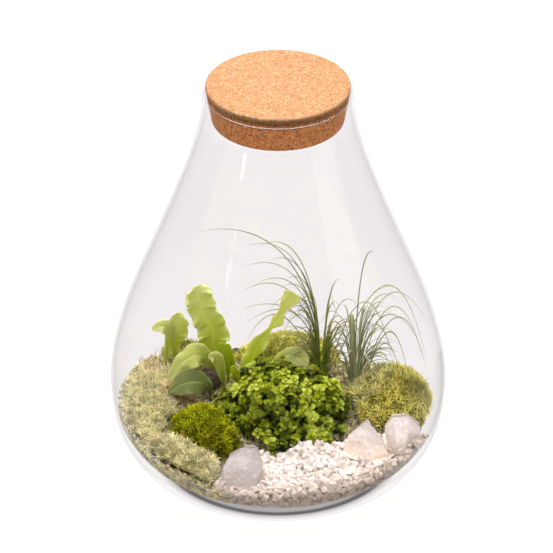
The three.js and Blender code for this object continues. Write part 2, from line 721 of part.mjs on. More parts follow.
// The room that the bush takes, which the moss beside it leaves free
const bushRoom = solidOf(
  new THREE.SphereGeometry(1, 20, 10).scale(BUSH.rx + 9, BUSH.ry + 9, BUSH.top + 12)
    .translate(BUSH.x, BUSH.y, BUSH.foot - 2),
);

// The ground: soil with its holes, moss cushions and gravel resting on it a gap apart
const room = jarRoom(GAP);
const holes = wasm.Manifold.union(stems.map(stemHole));
const stones = Object.fromEntries(
  Object.entries(stoneCorners).map(([name, corners]) => [name, stone(corners)]),
);
const stoneClear = wasm.Manifold.union(
  Object.values(stoneCorners).map((corners) => stone(corners, 2 * GAP)),
);

const soil = room.intersect(soilBlock).subtract(holes).subtract(stoneClear);

function mossCushions() {
  const done = {};
  const taken = [];
  for (const [name, plan] of Object.entries(mossPlan)) {
    const cut = wasm.Manifold.union([soilClear, holes, stoneClear, bushRoom, ...taken]);
    done[name] = wholeBody(mossMound(plan).intersect(room).subtract(cut));
    taken.push(mossMound(plan, 2 * GAP));
  }
  return { done, taken };
}

const moss = mossCushions();
const gravel = wholeBody(
  gravelBed().intersect(room)
    .subtract(wasm.Manifold.union([soilClear, stoneClear, holes, ...moss.taken])),
);

// Finishes
const finish = (color, roughness, extra = {}) => new THREE.MeshStandardMaterial({
  color, roughness, metalness: 0, ...extra,
});
const glassFinish = finish('#eef1f0', 0.05, { transparent: true, opacity: 0.35 });
const corkFinish = finish('#d9a273', 0.9);
const soilFinish = finish('#4a3a2c', 1);
const mossFinish = finish('#7c8f2e', 1);
const chipFinish = finish('#efece8', 0.8);
const stoneFinish = finish('#ead9d2', 0.7);
const fernFinish = finish('#a3bd54', 0.5);
const grassFinish = finish('#7d8a58', 0.6);
const leafFinish = finish('#6fa01c', 0.5);

const terrarium = new THREE.Group();

function addPiece(name, solid, material) {
  const mesh = new THREE.Mesh(geometryOf(wholeBody(solid)), material);
  mesh.name = name;
  terrarium.add(mesh);
}

addPiece('glass_jar', glassJar(), glassFinish);
addPiece('cork_stopper', corkStopper(), corkFinish);
addPiece('potting_soil', soil, soilFinish);
addPiece('gravel_bed', gravel, chipFinish);
Object.entries(stones).forEach(([name, solid]) => addPiece(name, solid, stoneFinish));
Object.entries(moss.done).forEach(([name, solid]) => addPiece(name, solid, mossFinish));
Object.entries(fronds).forEach(([name, solid]) => addPiece(name, solid, fernFinish));
Object.entries(tufts).forEach(([name, solid]) => addPiece(name, solid, grassFinish));
Object.entries(sprays).forEach(([name, solid]) => addPiece(name, solid, leafFinish));

export default terrarium;
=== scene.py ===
"""Looks of a closed glass plant terrarium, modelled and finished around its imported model.

Plans are in millimetres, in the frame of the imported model: Z up through the cork, -Y to the front.
"""

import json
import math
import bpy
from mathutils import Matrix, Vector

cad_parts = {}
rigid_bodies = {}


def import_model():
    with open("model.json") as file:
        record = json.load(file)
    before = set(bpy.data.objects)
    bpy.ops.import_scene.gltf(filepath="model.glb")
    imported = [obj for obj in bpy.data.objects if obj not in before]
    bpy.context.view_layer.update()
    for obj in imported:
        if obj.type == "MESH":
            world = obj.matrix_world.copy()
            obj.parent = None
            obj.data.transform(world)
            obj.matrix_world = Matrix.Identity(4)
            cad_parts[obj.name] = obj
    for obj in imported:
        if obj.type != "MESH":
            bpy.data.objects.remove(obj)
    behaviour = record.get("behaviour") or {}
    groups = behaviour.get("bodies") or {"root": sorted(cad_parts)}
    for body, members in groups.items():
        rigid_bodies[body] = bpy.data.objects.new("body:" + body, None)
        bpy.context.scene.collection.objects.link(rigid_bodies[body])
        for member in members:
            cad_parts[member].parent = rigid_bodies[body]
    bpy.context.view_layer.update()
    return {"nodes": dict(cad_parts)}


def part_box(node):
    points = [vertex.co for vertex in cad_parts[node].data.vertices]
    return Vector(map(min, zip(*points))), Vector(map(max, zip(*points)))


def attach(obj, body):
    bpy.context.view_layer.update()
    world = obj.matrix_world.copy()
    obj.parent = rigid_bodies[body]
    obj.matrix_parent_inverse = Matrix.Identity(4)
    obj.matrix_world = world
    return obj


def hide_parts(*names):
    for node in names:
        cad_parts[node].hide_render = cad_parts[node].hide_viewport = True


bl_info = {
    "name": "Glass Plant Terrarium",
    "version": (1, 0, 0),
    "blender": (4, 5, 0),
    "location": "View3D > Sidebar > Terrarium",
    "description": "Models a corked glass jar with moss, ferns, grass, a leafy bush, gravel and stones",
    "category": "Add Mesh",
}

import bpy
import numpy as np
from bpy.props import FloatProperty, FloatVectorProperty, IntProperty, PointerProperty
from mathutils import Vector

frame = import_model()
BODY = "root"
MM = 0.001

# Jar: profile points as radius and height, outside and inside
JAR_OUTER = [
    (84, 0), (91.3, 3.7), (99.7, 14.7), (106.8, 31.3), (110, 56), (108.2, 77.4), (102.1, 103.2),
    (92.4, 130.9), (80.4, 160.9), (68.2, 192.2), (56.8, 224.2), (50, 251), (48.3, 270.3),
]
JAR_INNER = [
    (60, 7), (82, 9.5), (94.3, 16.2), (104.4, 31), (107.8, 44), (108.7, 58), (107, 77.4),
    (100.7, 103.2), (90.8, 130.9), (78.8, 160.9), (66.7, 192.2), (55.3, 224.2), (48.3, 250), (46.2, 269.5),
]
JAR_UNDERSIDE = [(0, 2), (30, 2), (50, 2), (55, 1.4), (58, 0)]
JAR_FLOOR = [(40, 7), (20, 7), (0, 7)]
RIM_MIDDLE = (47.25, 270.45)
RIM_RADIUS = 1.05

# Glass: the index that light from the planting meets, far under the 1.52 of real soda-lime glass so
# that the bed stays bright, and the heights where the foot ends and the neck and the rim start
GLASS_INDEX = 1.05
FOOT_HEIGHT = 20
NECK_HEIGHT = 255
RIM_HEIGHT = 269.8

# Polish: the share that each part of the glass reflects seen head-on, the share at the flattest slant,
# and the power by which it rises from one to the other
SLANT_POWER = 5
WALL_HEAD_ON = 0.04
WALL_POLISH = 0.5
FOOT_HEAD_ON = 0.01
FOOT_POLISH = 0.2
NECK_HEAD_ON = 0.02
NECK_POLISH = 0.3
RIM_HEAD_ON = 0.22
RIM_POLISH = 0.5

# Cork: a tapered disc
CORK_TOP = 277.4
CORK_HEIGHT = 26
CORK_RADII = (42.4, 46.9)

# Ground: soil under everything, and the gravel's outline and top
SOIL_LEVEL = 31
GRAVEL_TOP = 31
GRAVEL_PLAN = [
    (-44, -100), (-39, -84), (-31, -66), (-13, -55), (3, -47), (18, -44), (36, -42), (46, -36),
    (54, -24), (62, -32), (78, -34), (104, -30), (112, -70), (60, -116), (0, -120),
]
CHIP_DEPTH = 8
PEBBLE = (-38.5, -83, 26)

# Ferns: path of the midrib, half widths left and right of it, the way that the blade faces,
# the lift of its ruffled edges and how many waves they have
FERN_PLAN = {
    "tall": ([[-36, 31, 45], [-39.5, 31, 55], [-43, 32, 63], [-43.2, 32.5, 70], [-45.2, 33, 77.5],
              [-48.6, 33, 83], [-50.5, 33.5, 88], [-51.3, 34, 93], [-52, 34, 98], [-52.3, 34.5, 102],
              [-52.8, 35, 106]],
             [1.6, 4.5, 8.6, 10.2, 8.6, 8.6, 8.8, 9.2, 8.9, 7.6, 4.5],
             [1.6, 5, 9.6, 10.8, 9, 9.4, 8.6, 9.4, 8.9, 7.6, 4.5], [0.2, -1, 0.25], 3.0, 4.6),
    "back_left": ([[-69, 44, 46], [-69, 44, 54], [-68.5, 43.5, 60], [-68, 43, 65], [-67.5, 43, 70],
                   [-67, 43, 75], [-66.5, 43, 80]],
                  [1.4, 3.5, 5.5, 6, 6.5, 4.5, 2], [1.4, 4, 6.5, 7.6, 8, 6, 2.5], [0.1, -1, 0.3], 1.6, 2.4),
    "far_left": ([[-75, 38, 46], [-73, 40, 58], [-72, 41, 66], [-76, 40, 71], [-84, 38, 70.5]],
                 [1.2, 2.5, 4.2, 4.4, 1.8], [1.2, 2.5, 4.2, 4.4, 1.8], [0.3, -0.9, 0.4], 0.8, 1.5),
    "arching": ([[-42, 21, 44], [-45, 17, 56], [-50, 15, 63.5], [-57, 13, 64.5], [-64.5, 11, 59.5],
                 [-72.5, 8, 48]],
                [1.4, 3, 6.5, 8.4, 5.6, 0.8], [1.4, 3, 6.4, 7.8, 5, 0.8], [-0.2, -0.75, 0.7], 1.6, 2.2),
    "shaded": ([[-45, 4, 42], [-47.5, 3, 49], [-54, 1, 52], [-64, -1, 51], [-72.5, -4, 46]],
               [1.4, 4.5, 8, 8, 1.4], [1.4, 4.5, 8.5, 7.5, 1.4], [-0.1, -0.7, 0.8], 1.4, 1.8),
    "right": ([[-23, 19, 42], [-20.5, 19.5, 49.5], [-18, 20, 57], [-15, 20.5, 63.5], [-12, 21, 70],
               [-8.5, 21.5, 75.5], [-5, 22, 81], [-1, 22.5, 86.5], [2, 23, 92], [5, 23.5, 98],
               [8.5, 24, 104], [10, 24, 107.5]],
              [2.4, 4.6, 5.6, 5.8, 5, 2.8, 1.2, 3.6, 2.1, 3.2, 6, 5],
              [2.4, 4.6, 5.6, 5.4, 5, 3, 1.3, 4.6, 2.5, 3.8, 6.6, 5.5], [-0.25, -1, 0.25], 1.6, 2.8),
    "upright": ([[-33, 24, 44], [-36, 24, 55], [-38, 25, 68]],
                [1.5, 3.6, 1.8], [1.5, 3.6, 1.8], [0.3, -1, 0.2], 0.8, 1.2),
    "slender": ([[-29.5, 28, 44], [-32, 28, 55], [-33.5, 28, 65]],
                [1.3, 2.8, 1.4], [1.3, 2.8, 1.4], [-0.2, -1, 0.2], 0.6, 1.2),
    "round": ([[-9, 29, 42], [-4, 28, 49], [4, 27, 56], [12, 26, 56], [20, 25, 50.5]],
              [1.2, 1.6, 4, 6.5, 3], [1.2, 1.6, 4, 6.5, 3], [0, -0.75, 0.75], 0.8, 1.6),
    "curled": ([[-36, 13, 44], [-38, 11, 57], [-41, 10, 65], [-46, 9, 67]],
               [1.2, 3.2, 4, 1.4], [1.2, 3.2, 4, 1.4], [0.1, -1, 0.5], 1.3, 1.6),
    "low_right": ([[-24.5, 15, 42], [-22.5, 13, 50], [-19.5, 12, 59]],
                  [1.4, 3.4, 1.4], [1.4, 3.4, 1.4], [0.1, -1, 0.4], 0.9, 1.2),
    "low_left": ([[-26.5, 16, 42], [-28, 14, 50], [-30, 13, 57]],
                 [1.3, 3, 1.3], [1.3, 3, 1.3], [-0.1, -1, 0.4], 0.9, 1.2),
}
FERN_CROWN = {"middle": (-46, 17, 44), "radii": (11.5, 8, 9.5)}

# Grass: where each tuft stands, and its long blades as degrees from +X, reach, height of the tip,
# height of the peak over the foot, and width
GRASS_PLAN = {
    "left": {
        "foot": (29, 36), "seed": 5, "filler": 95,
        "blades": [
            (184, 80, 113, 114, 1.6), (171, 40, 94, 98, 1.6), (188, 53, 85, 88, 1.3),
            (176, 59, 54, 68, 1.3), (196, 35, 55, 64, 1.2), (183, 52, 50, 54, 1.2),
            (192, 49, 43, 51, 1.2), (178, 51, 14, 43, 1.5), (199, 34, 21, 33, 1.2),
            (186, 35, 26, 31, 1.2), (172, 24, 30, 33, 1.2), (150, 8, 50, 51, 1.2),
            (35, 13, 67, 68, 1.2), (357, 69, 10, 68, 1.7), (62, 20, 30, 34, 1.2),
            (180, 51, 96, 99, 1.2), (177, 33, 86, 88, 1.3), (187, 27, 66, 69, 1.3),
            (174, 46, 62, 70, 1.1), (352, 46, 12, 56, 1.4), (182, 22, 72, 74, 1.5),
            (345, 30, 20, 42, 1.3),
        ],
    },
    "right": {
        "foot": (51, 24), "seed": 12, "filler": 62,
        "blades": [
            (14, 12, 99, 100, 1.9), (120, 4, 50, 51, 3.4), (0, 48, 44, 71, 1.2),
            (356, 44, 22, 60, 1.4), (2, 40, 32, 52, 1.3), (350, 35, 5, 43, 1.6),
            (346, 30, 4, 34, 1.4), (340, 25, 5, 27, 1.3), (355, 46, 12, 52, 1.3),
            (10, 30, 58, 66, 1.1), (246, 16, 26, 32, 1.3), (300, 20, 20, 28, 1.2),
            (176, 22, 28, 46, 1.5), (180, 15, 50, 54, 1.3), (172, 26, 14, 36, 1.3),
            (188, 18, 12, 28, 1.3), (150, 8, 58, 59, 1.3),
        ],
    },
}
TUFT_RADIUS = 4.5

# Bush: one rounded outline that its five sprays share, and the middles of the sprays
BUSH = {"x": 4, "y": -11, "rx": 42, "ry": 28, "top": 37, "foot": 31}
BUSH_SPRAYS = {
    "front_left": (-22, -18), "front_middle": (4, -24), "front_right": (30, -18),
    "back_left": (-11, 1), "back_right": (19, 1),
}
LOW_SPRIGS = [
    (-20, -33, 38), (-13, -37, 37.5), (-7, -40, 37), (-2, -54, 36.5), (-5, -48, 37), (4, -50, 36),
    (12, -44, 38), (22, -42, 38), (32, -41, 37), (41, -34, 38), (-30, -26, 42), (-36, -17, 46),
]

# A bush leaf's outline from its tip to its foot, as width and length
LEAF_OUTLINE = [
    (0, 1), (0.12, 0.85), (0.3, 0.87), (0.27, 0.63), (0.47, 0.55), (0.34, 0.3), (0.11, 0.15), (0, 0),
]

# Moss: the six cushions, with the finish that each one has
MOSS_PLAN = {
    "front_left": "vivid", "right": "crowned", "back_centre": "olive",
    "left_bank": "straw", "back_left": "pale", "front_slope": "straw",
}

# Stones: how peach each one is below, its lightness, and how much larger than its solid it is, all
# ways, and how far to the right it reaches
STONE_PLAN = {
    "left": (0.1, 0.51, (1.03, 1.0, 1.0), 0),
    "middle": (0.75, 0.8, (1.16, 1.0, 1.0), 1.8),
    "right": (0.25, 0.72, (1.24, 1.08, 1.03), 1.0),
}

# Dry bits on the ground: middle, spread, how many and their length
LITTER = [((-67, 2), (11, 7), 46, 3.4), ((46, 27), (4, 5), 14, 3.0), ((-26, 6), (14, 9), 24, 2.6)]
SEEDLINGS = [(57, 33), (61, 30), (66, 31), (70, 27), (63, 36), (74, 24), (59, 25), (78, 20)]

# Camera: as far away as the photograph's slight perspective shows
CAMERA_TARGET = (-1, 0, 134)
CAMERA_ELEVATION = 31.2
CAMERA_DISTANCE = 3200
CAMERA_LENS = 319.7

# Studio, in metres and watts: name, place, size, power and aim of each light
WORLD_LIGHT = 0.2
WORLD_SEEN = 0.9
FLOOR_GLOW = 1.0
LIGHT_BOUNCES = 24
LIGHTS = [
    ("overhead softbox", (0, 0.5, 2.4), (2.6, 2.2), 92, (0, 0.1, 0)),
    ("front softbox", (-0.3, -1.5, 2.3), (1.4, 0.9), 9, (0, 0, 0.08)),
]

# Painted shade under the jar's foot: its share of the floor's glow, how far inside the foot's edge it
# starts to lift, and the soft dark line of painted contact shadow where the foot's ring bears on the floor
FOOT_SHADE = 0.45
FOOT_SHADE_LIFT = 6
FOOT_SHADOW_LINE = 77
FOOT_SHADOW_LINE_SHARE = 0.3
FOOT_SHADOW_LINE_REACH = (0.8, 3)

# Cards that show only in the polish of the glass: corners and glow
CARDS = [
    ("right table", [(100, -160, 2), (225, -160, 2), (100, 130, 2), (225, 130, 2)], 0.5),
    ("front table", [(-90, -215, 2), (95, -215, 2), (-90, -112, 2), (95, -112, 2)], 0.6),
    ("right panel", [(620, -560, 0), (900, -110, 0), (620, -560, 900), (900, -110, 900)], 0.6),
    ("strip light low", [(-846, -851, 5), (-908, -785, 5), (-846, -851, 185), (-908, -785, 185)], 5),
    ("strip light first", [(-846, -851, 336), (-908, -785, 336), (-846, -851, 340), (-908, -785, 340)], 4),
    ("strip light second",
     [(-846, -851, 344), (-908, -785, 344), (-846, -851, 345.5), (-908, -785, 345.5)], 4),
    ("strip light third",
     [(-846, -851, 349.5), (-908, -785, 349.5), (-846, -851, 351), (-908, -785, 351)], 4),
    ("low flag", [(-380, -330, 20), (-230, -330, 20), (-380, -330, 145), (-230, -330, 145)], 0),
]

# Dome: its radius, its glow, where from front to back its glow starts and is full, and where it dims
# below, from full down to a share
DOME_RADIUS = 2900
DOME_GLOW = 0.88
DOME_FADE = (-0.15, 0.85)
DOME_LOW = (-0.8, -0.5, 0.45)

# Black cloth on the floor in front, which keeps the floor's glow off the front of things
FRONT_FLAG = [(-3000, -3000, 3), (3000, -3000, 3), (-3000, -240, 3), (3000, -240, 3)]


def hex_colour(code):
    """Linear colour from an sRGB hex code."""
    channels = [int(code[i:i + 2], 16) / 255 for i in (1, 3, 5)]
    linear = [c / 12.92 if c <= 0.04045 else ((c + 0.055) / 1.055) ** 2.4 for c in channels]
    return (*linear, 1.0)


def clear_selection():
    """Leaves edit mode and selects nothing."""
    if bpy.context.object and bpy.context.object.mode != "OBJECT":
        bpy.ops.object.mode_set(mode="OBJECT")
    bpy.ops.object.select_all(action="DESELECT")


def activate(piece):
    """Makes a piece the only selected and the active one."""
    clear_selection()
    piece.select_set(True)
    bpy.context.view_layer.objects.active = piece


def edit_all(piece):
    """Opens a piece in edit mode with everything selected."""
    activate(piece)
    bpy.ops.object.mode_set(mode="EDIT")
    bpy.ops.mesh.select_all(action="SELECT")


def named(name):
    """Names the active object and its mesh."""
    piece = bpy.context.object
    piece.name = name
    piece.data.name = name
    return piece


def finish_with(piece, kind, **settings):
    """Adds a modifier with its settings and applies it."""
    activate(piece)
    modifier = piece.modifiers.new(kind.title(), kind)
    for key, value in settings.items():
        setattr(modifier, key, value)
    bpy.ops.object.modifier_apply(modifier=modifier.name)


def relief(piece, kind, scale, depth, level=1.0, **settings):
    """Presses a procedural pattern into a piece: its scale and depth are in millimetres."""
    pattern = bpy.data.textures.new(f"{piece.name} relief", kind)
    pattern.noise_scale = scale * MM
    for key, value in settings.items():
        setattr(pattern, key, value)
    finish_with(piece, "DISPLACE", texture=pattern, texture_coords="LOCAL",
                strength=depth * MM, mid_level=level)


def smooth(piece, degrees=None):
    """Shades a piece smooth, all over or up to an angle between faces."""
    activate(piece)
    if degrees is None:
        bpy.ops.object.shade_smooth()
    else:
        bpy.ops.object.shade_smooth_by_angle(angle=math.radians(degrees))


def merged_copy(name, node):
    """A piece from a CAD node's mesh, with its loose triangles joined at their corners."""
    mesh = frame["nodes"][node].data.copy()
    mesh.materials.clear()
    piece = bpy.data.objects.new(name, mesh)
    bpy.context.scene.collection.objects.link(piece)
    edit_all(piece)
    bpy.ops.mesh.customdata_custom_splitnormals_clear()
    bpy.ops.mesh.remove_doubles(threshold=0.01 * MM)
    bpy.ops.object.mode_set(mode="OBJECT")
    return piece


class Shape:
    """A modelled shape to place copies of: its points, its faces, and how far along it each point is."""

    def __init__(self, piece, axis=2, unit=1.0):
        mesh = piece.data
        points = np.empty(len(mesh.vertices) * 3)
        mesh.vertices.foreach_get("co", points)
        self.points = points.reshape(-1, 3) / unit
        self.corners = np.empty(len(mesh.loops), int)
        mesh.loops.foreach_get("vertex_index", self.corners)
        self.sizes = np.empty(len(mesh.polygons), int)
        mesh.polygons.foreach_get("loop_total", self.sizes)
        reach = self.points[:, axis]
        self.along = (reach - reach.min()) / max(np.ptp(reach), 1e-9)
        bpy.data.objects.remove(piece)

    def moved(self, points):
        """The same faces on other points."""
        other = object.__new__(Shape)
        other.points = points
        other.corners, other.sizes, other.along = self.corners, self.sizes, self.along
        return other


class Heap:
    """Collects placed copies of shapes and makes one mesh of them."""

    def __init__(self):
        self.points, self.corners, self.sizes, self.along, self.tint = [], [], [], [], []
        self.count = 0

    def add(self, shape, turns=None, offsets=None, tints=0.5, along=None):
        """Adds copies of a shape, one for each turn and offset, each with its own tint."""
        turns = np.eye(3)[None] if turns is None else turns
        offsets = np.zeros((len(turns), 3)) if offsets is None else offsets
        placed = np.einsum("kij,nj->kni", turns, shape.points) + offsets[:, None, :]
        copies, size = placed.shape[:2]
        starts = self.count + size * np.arange(copies)
        self.points.append(placed.reshape(-1, 3))
        self.corners.append((shape.corners[None, :] + starts[:, None]).ravel())
        self.sizes.append(np.tile(shape.sizes, copies))
        along = shape.along if along is None else along
        self.along.append(np.repeat(along, size) if len(along) == copies else np.tile(along, copies))
        self.tint.append(np.repeat(np.broadcast_to(tints, copies), size))
        self.count += copies * size

    def make(self, name, smooth_faces=False, inside=None):
        """Makes the mesh piece, drawn in from the glass where a gap to it is given."""
        points = np.vstack(self.points)
        if inside is not None:
            points = keep_inside(points, inside)
        corners = np.concatenate(self.corners)
        sizes = np.concatenate(self.sizes)
        mesh = bpy.data.meshes.new(name)
        mesh.vertices.add(len(points))
        mesh.vertices.foreach_set("co", (points * MM).ravel())
        mesh.loops.add(len(corners))
        mesh.loops.foreach_set("vertex_index", corners)
        mesh.polygons.add(len(sizes))
        mesh.polygons.foreach_set("loop_start", np.cumsum(sizes) - sizes)
        mesh.polygons.foreach_set("use_smooth", np.full(len(sizes), smooth_faces))
        mesh.update(calc_edges=True)
        for key, values in (("along", self.along), ("tint", self.tint)):
            layer = mesh.attributes.new(key, "FLOAT", "POINT")
            layer.data.foreach_set("value", np.concatenate(values))
        piece = bpy.data.objects.new(name, mesh)
        bpy.context.scene.collection.objects.link(piece)
        return piece


def ramp(low, high, value):
    """A smooth step from 0 to 1 between two values."""
    t = np.clip((np.asarray(value, float) - low) / (high - low), 0, 1)
    return t * t * (3 - 2 * t)


def bump(x, y):
    """A rounded hill of height 1."""
    return np.exp(-x * x - y * y)


def spline(points, steps):
    """Points on a smooth curve through the given ones, with some steps from each to the next."""
    given = np.array(points, float)
    ends = np.vstack([2 * given[0] - given[1], given, 2 * given[-1] - given[-2]])
    t = (np.arange(steps) / steps)[:, None]
    spans = []
    for a, b, c, d in zip(ends[:-3], ends[1:-2], ends[2:-1], ends[3:]):
        cubic = (3 * b - a - 3 * c + d) * t ** 3
        spans.append(0.5 * (2 * b + (c - a) * t + (2 * a - 5 * b + 4 * c - d) * t ** 2 + cubic))
    return np.vstack([*spans, given[-1:]])


INNER_WALL = spline(JAR_INNER, 8)


def keep_inside(points, gap):
    """Draws points that would come nearer to the glass than a gap back to it."""
    radius = np.hypot(points[:, 0], points[:, 1])
    limit = np.interp(points[:, 2], INNER_WALL[:, 1], INNER_WALL[:, 0]) - gap
    points[:, :2] *= np.minimum(1, limit / np.maximum(radius, 1e-6))[:, None]
    return points


def soil_top(x, y):
    """Height of the soil."""
    return (SOIL_LEVEL + 9 * bump((x + 80) / 42, (y - 12) / 60) + 5 * bump((x - 5) / 55, (y - 32) / 32)
            - 15 * ramp(45, 95, y) * (0.35 + 0.65 * ramp(-70, 50, x))
            - 8 * ramp(-26, -60, y) * ramp(-60, -30, x))


def gravel_height(x, y):
    """Height of the gravel's top."""
    return GRAVEL_TOP + 3 * ramp(-95, -45, y) + 1.2 * np.sin(0.09 * x)


def within(plan, x, y):
    """Whether points lie within a plan's outline."""
    inside = np.zeros(len(x), bool)
    for (ax, ay), (bx, by) in zip(plan, plan[1:] + plan[:1]):
        crosses = (ay > y) != (by > y)
        at = ax + (y - ay) * (bx - ax) / (by - ay if by != ay else 1)
        inside ^= crosses & (x < at)
    return inside


def apart(points, spacing):
    """Indices of the points, taken in order, that stand at least a spacing apart."""
    cells = {}
    kept = []
    near = [(i, j, k) for i in (-1, 0, 1) for j in (-1, 0, 1) for k in (-1, 0, 1)]
    keys = np.floor(points / spacing).astype(int).tolist()
    listed = points.tolist()
    limit = spacing * spacing
    for index, ((a, b, c), (x, y, z)) in enumerate(zip(keys, listed)):
        clear = True
        for i, j, k in near:
            for px, py, pz in cells.get((a + i, b + j, c + k), ()):
                if (px - x) ** 2 + (py - y) ** 2 + (pz - z) ** 2 < limit:
                    clear = False
                    break
            if not clear:
                break
        if clear:
            cells.setdefault((a, b, c), []).append((x, y, z))
            kept.append(index)
    return np.array(kept, int)


def unit(vectors):
    """Vectors of length 1."""
    return vectors / np.maximum(np.linalg.norm(vectors, axis=-1, keepdims=True), 1e-9)


def standing(normals, spins, sizes):
    """Turns that stand a shape's Z along each normal, spun about it and sized."""
    n = unit(normals)
    helper = np.where(np.abs(n[:, 2:3]) < 0.9, [[0, 0, 1.0]], [[1.0, 0, 0]])
    a = unit(np.cross(helper, n))
    b = np.cross(n, a)
    c, s = np.cos(spins)[:, None], np.sin(spins)[:, None]
    return np.stack([a * c + b * s, b * c - a * s, n], axis=-1) * np.reshape(sizes, (-1, 1, 1))


def tumbled(draw, count, sizes):
    """Turns to any side, with sizes."""
    axes = unit(draw.normal(size=(count, 3)))
    return standing(axes, draw.uniform(0, 2 * math.pi, count), sizes)


def surface_points(shape, draw, count):
    """Random points all over a shape's surface, with the normals there."""
    starts = np.cumsum(shape.sizes) - shape.sizes
    fans = []
    for extra in range(1, int(shape.sizes.max()) - 1):
        has = shape.sizes > extra + 1
        first = starts[has]
        fans.append(np.stack([shape.corners[first], shape.corners[first + extra],
                              shape.corners[first + extra + 1]], axis=1))
    a, b, c = (shape.points[np.vstack(fans)[:, i]] for i in range(3))
    crosses = np.cross(b - a, c - a)
    areas = np.linalg.norm(crosses, axis=1)
    chosen = draw.choice(len(areas), count, p=areas / areas.sum())
    u, v = draw.uniform(size=(2, count, 1))
    flip = u + v > 1
    u, v = np.where(flip, 1 - u, u), np.where(flip, 1 - v, v)
    points = a[chosen] + u * (b - a)[chosen] + v * (c - a)[chosen]
    return points, unit(crosses[chosen])


def bent(shape, path, across, radii, flat=1.0):
    """Lays a straight shape of length 1 along a path: its x goes across, and its z follows the path."""
    path = np.array(path, float)
    places = np.linspace(0, 1, len(path))
    tangents = unit(np.gradient(path, axis=0))
    t = shape.points[:, 2]
    centre = np.stack([np.interp(t, places, path[:, i]) for i in range(3)], axis=1)
    tangent = unit(np.stack([np.interp(t, places, tangents[:, i]) for i in range(3)], axis=1))
    side = unit(np.cross(np.cross(tangent, across), tangent))
    up = np.cross(tangent, side)
    radius = np.interp(t, np.linspace(0, 1, len(radii)), radii)[:, None]
    return shape.moved(centre + radius * (side * shape.points[:, :1] + flat * up * shape.points[:, 1:2]))


def add_node(tree, kind, settings=None, links=None):
    """Adds a node to a tree, with its settings and the outputs that feed its inputs."""
    node = tree.nodes.new(kind)
    for key, value in (settings or {}).items():
        if isinstance(key, int) or key in node.inputs:
            node.inputs[key].default_value = value
        else:
            setattr(node, key, value)
    for key, output in (links or {}).items():
        tree.links.new(output, node.inputs[key])
    return node


def new_material(name):
    """A material with an empty tree and an output."""
    material = bpy.data.materials.new(name)
    material.use_nodes = True
    tree = material.node_tree
    tree.nodes.clear()
    return material, tree, add_node(tree, "ShaderNodeOutputMaterial")


def mixed(tree, share, first, second, blend="MIX"):
    """The output of a colour mix: each side is a colour or an output."""
    settings = {"data_type": "RGBA", "blend_type": blend}
    links = {}
    for place, value in ((0, share), (6, first), (7, second)):
        if isinstance(value, bpy.types.NodeSocket):
            links[place] = value
        else:
            settings[place] = value
    return add_node(tree, "ShaderNodeMix", settings, links).outputs[2]


def scaled_share(tree, value, low, high, to_low=0.0, to_high=1.0):
    """The output of a value range turned to another."""
    settings = {1: low, 2: high, 3: to_low, 4: to_high}
    return add_node(tree, "ShaderNodeMapRange", settings, {0: value}).outputs[0]


def blown_glass(name, colours, head_on, polish):
    """Blown soda-lime glass: what is seen through it isn't bent, and its polished skins shine at a slant.

    Light that comes from a matt surface meets a clear body instead, and lamps shine through with a faint
    tint, so the bed is lit by two routes and looks brighter than it would behind real glass.
    """
    material, tree, output = new_material(f"blown soda-lime glass {name}")
    clear = add_node(tree, "ShaderNodeBsdfTransparent", {"Color": colours.glass})
    skin = add_node(tree, "ShaderNodeBsdfGlossy", {"Roughness": 0.02})
    facing = add_node(tree, "ShaderNodeLayerWeight", {"Blend": 0.5}).outputs["Facing"]
    power = add_node(tree, "ShaderNodeMath", {"operation": "POWER", 1: SLANT_POWER}, {0: facing})
    share = scaled_share(tree, power.outputs[0], 0, 1, head_on, polish)
    seen = add_node(tree, "ShaderNodeMixShader", None, {0: share, 1: clear.outputs[0], 2: skin.outputs[0]})
    body = add_node(tree, "ShaderNodeBsdfPrincipled", {
        "Base Color": colours.glass, "Roughness": 0.0, "IOR": GLASS_INDEX, "Transmission Weight": 1.0,
    })
    path = add_node(tree, "ShaderNodeLightPath")
    lit = add_node(tree, "ShaderNodeMixShader", None,
                   {0: path.outputs["Is Diffuse Ray"], 1: seen.outputs[0], 2: body.outputs[0]})
    light = add_node(tree, "ShaderNodeBsdfTransparent", {"Color": hex_colour("#f4f2f0")})
    mix = add_node(tree, "ShaderNodeMixShader", None,
                   {0: path.outputs["Is Shadow Ray"], 1: lit.outputs[0], 2: light.outputs[0]})
    tree.links.new(mix.outputs[0], output.inputs[0])
    return material


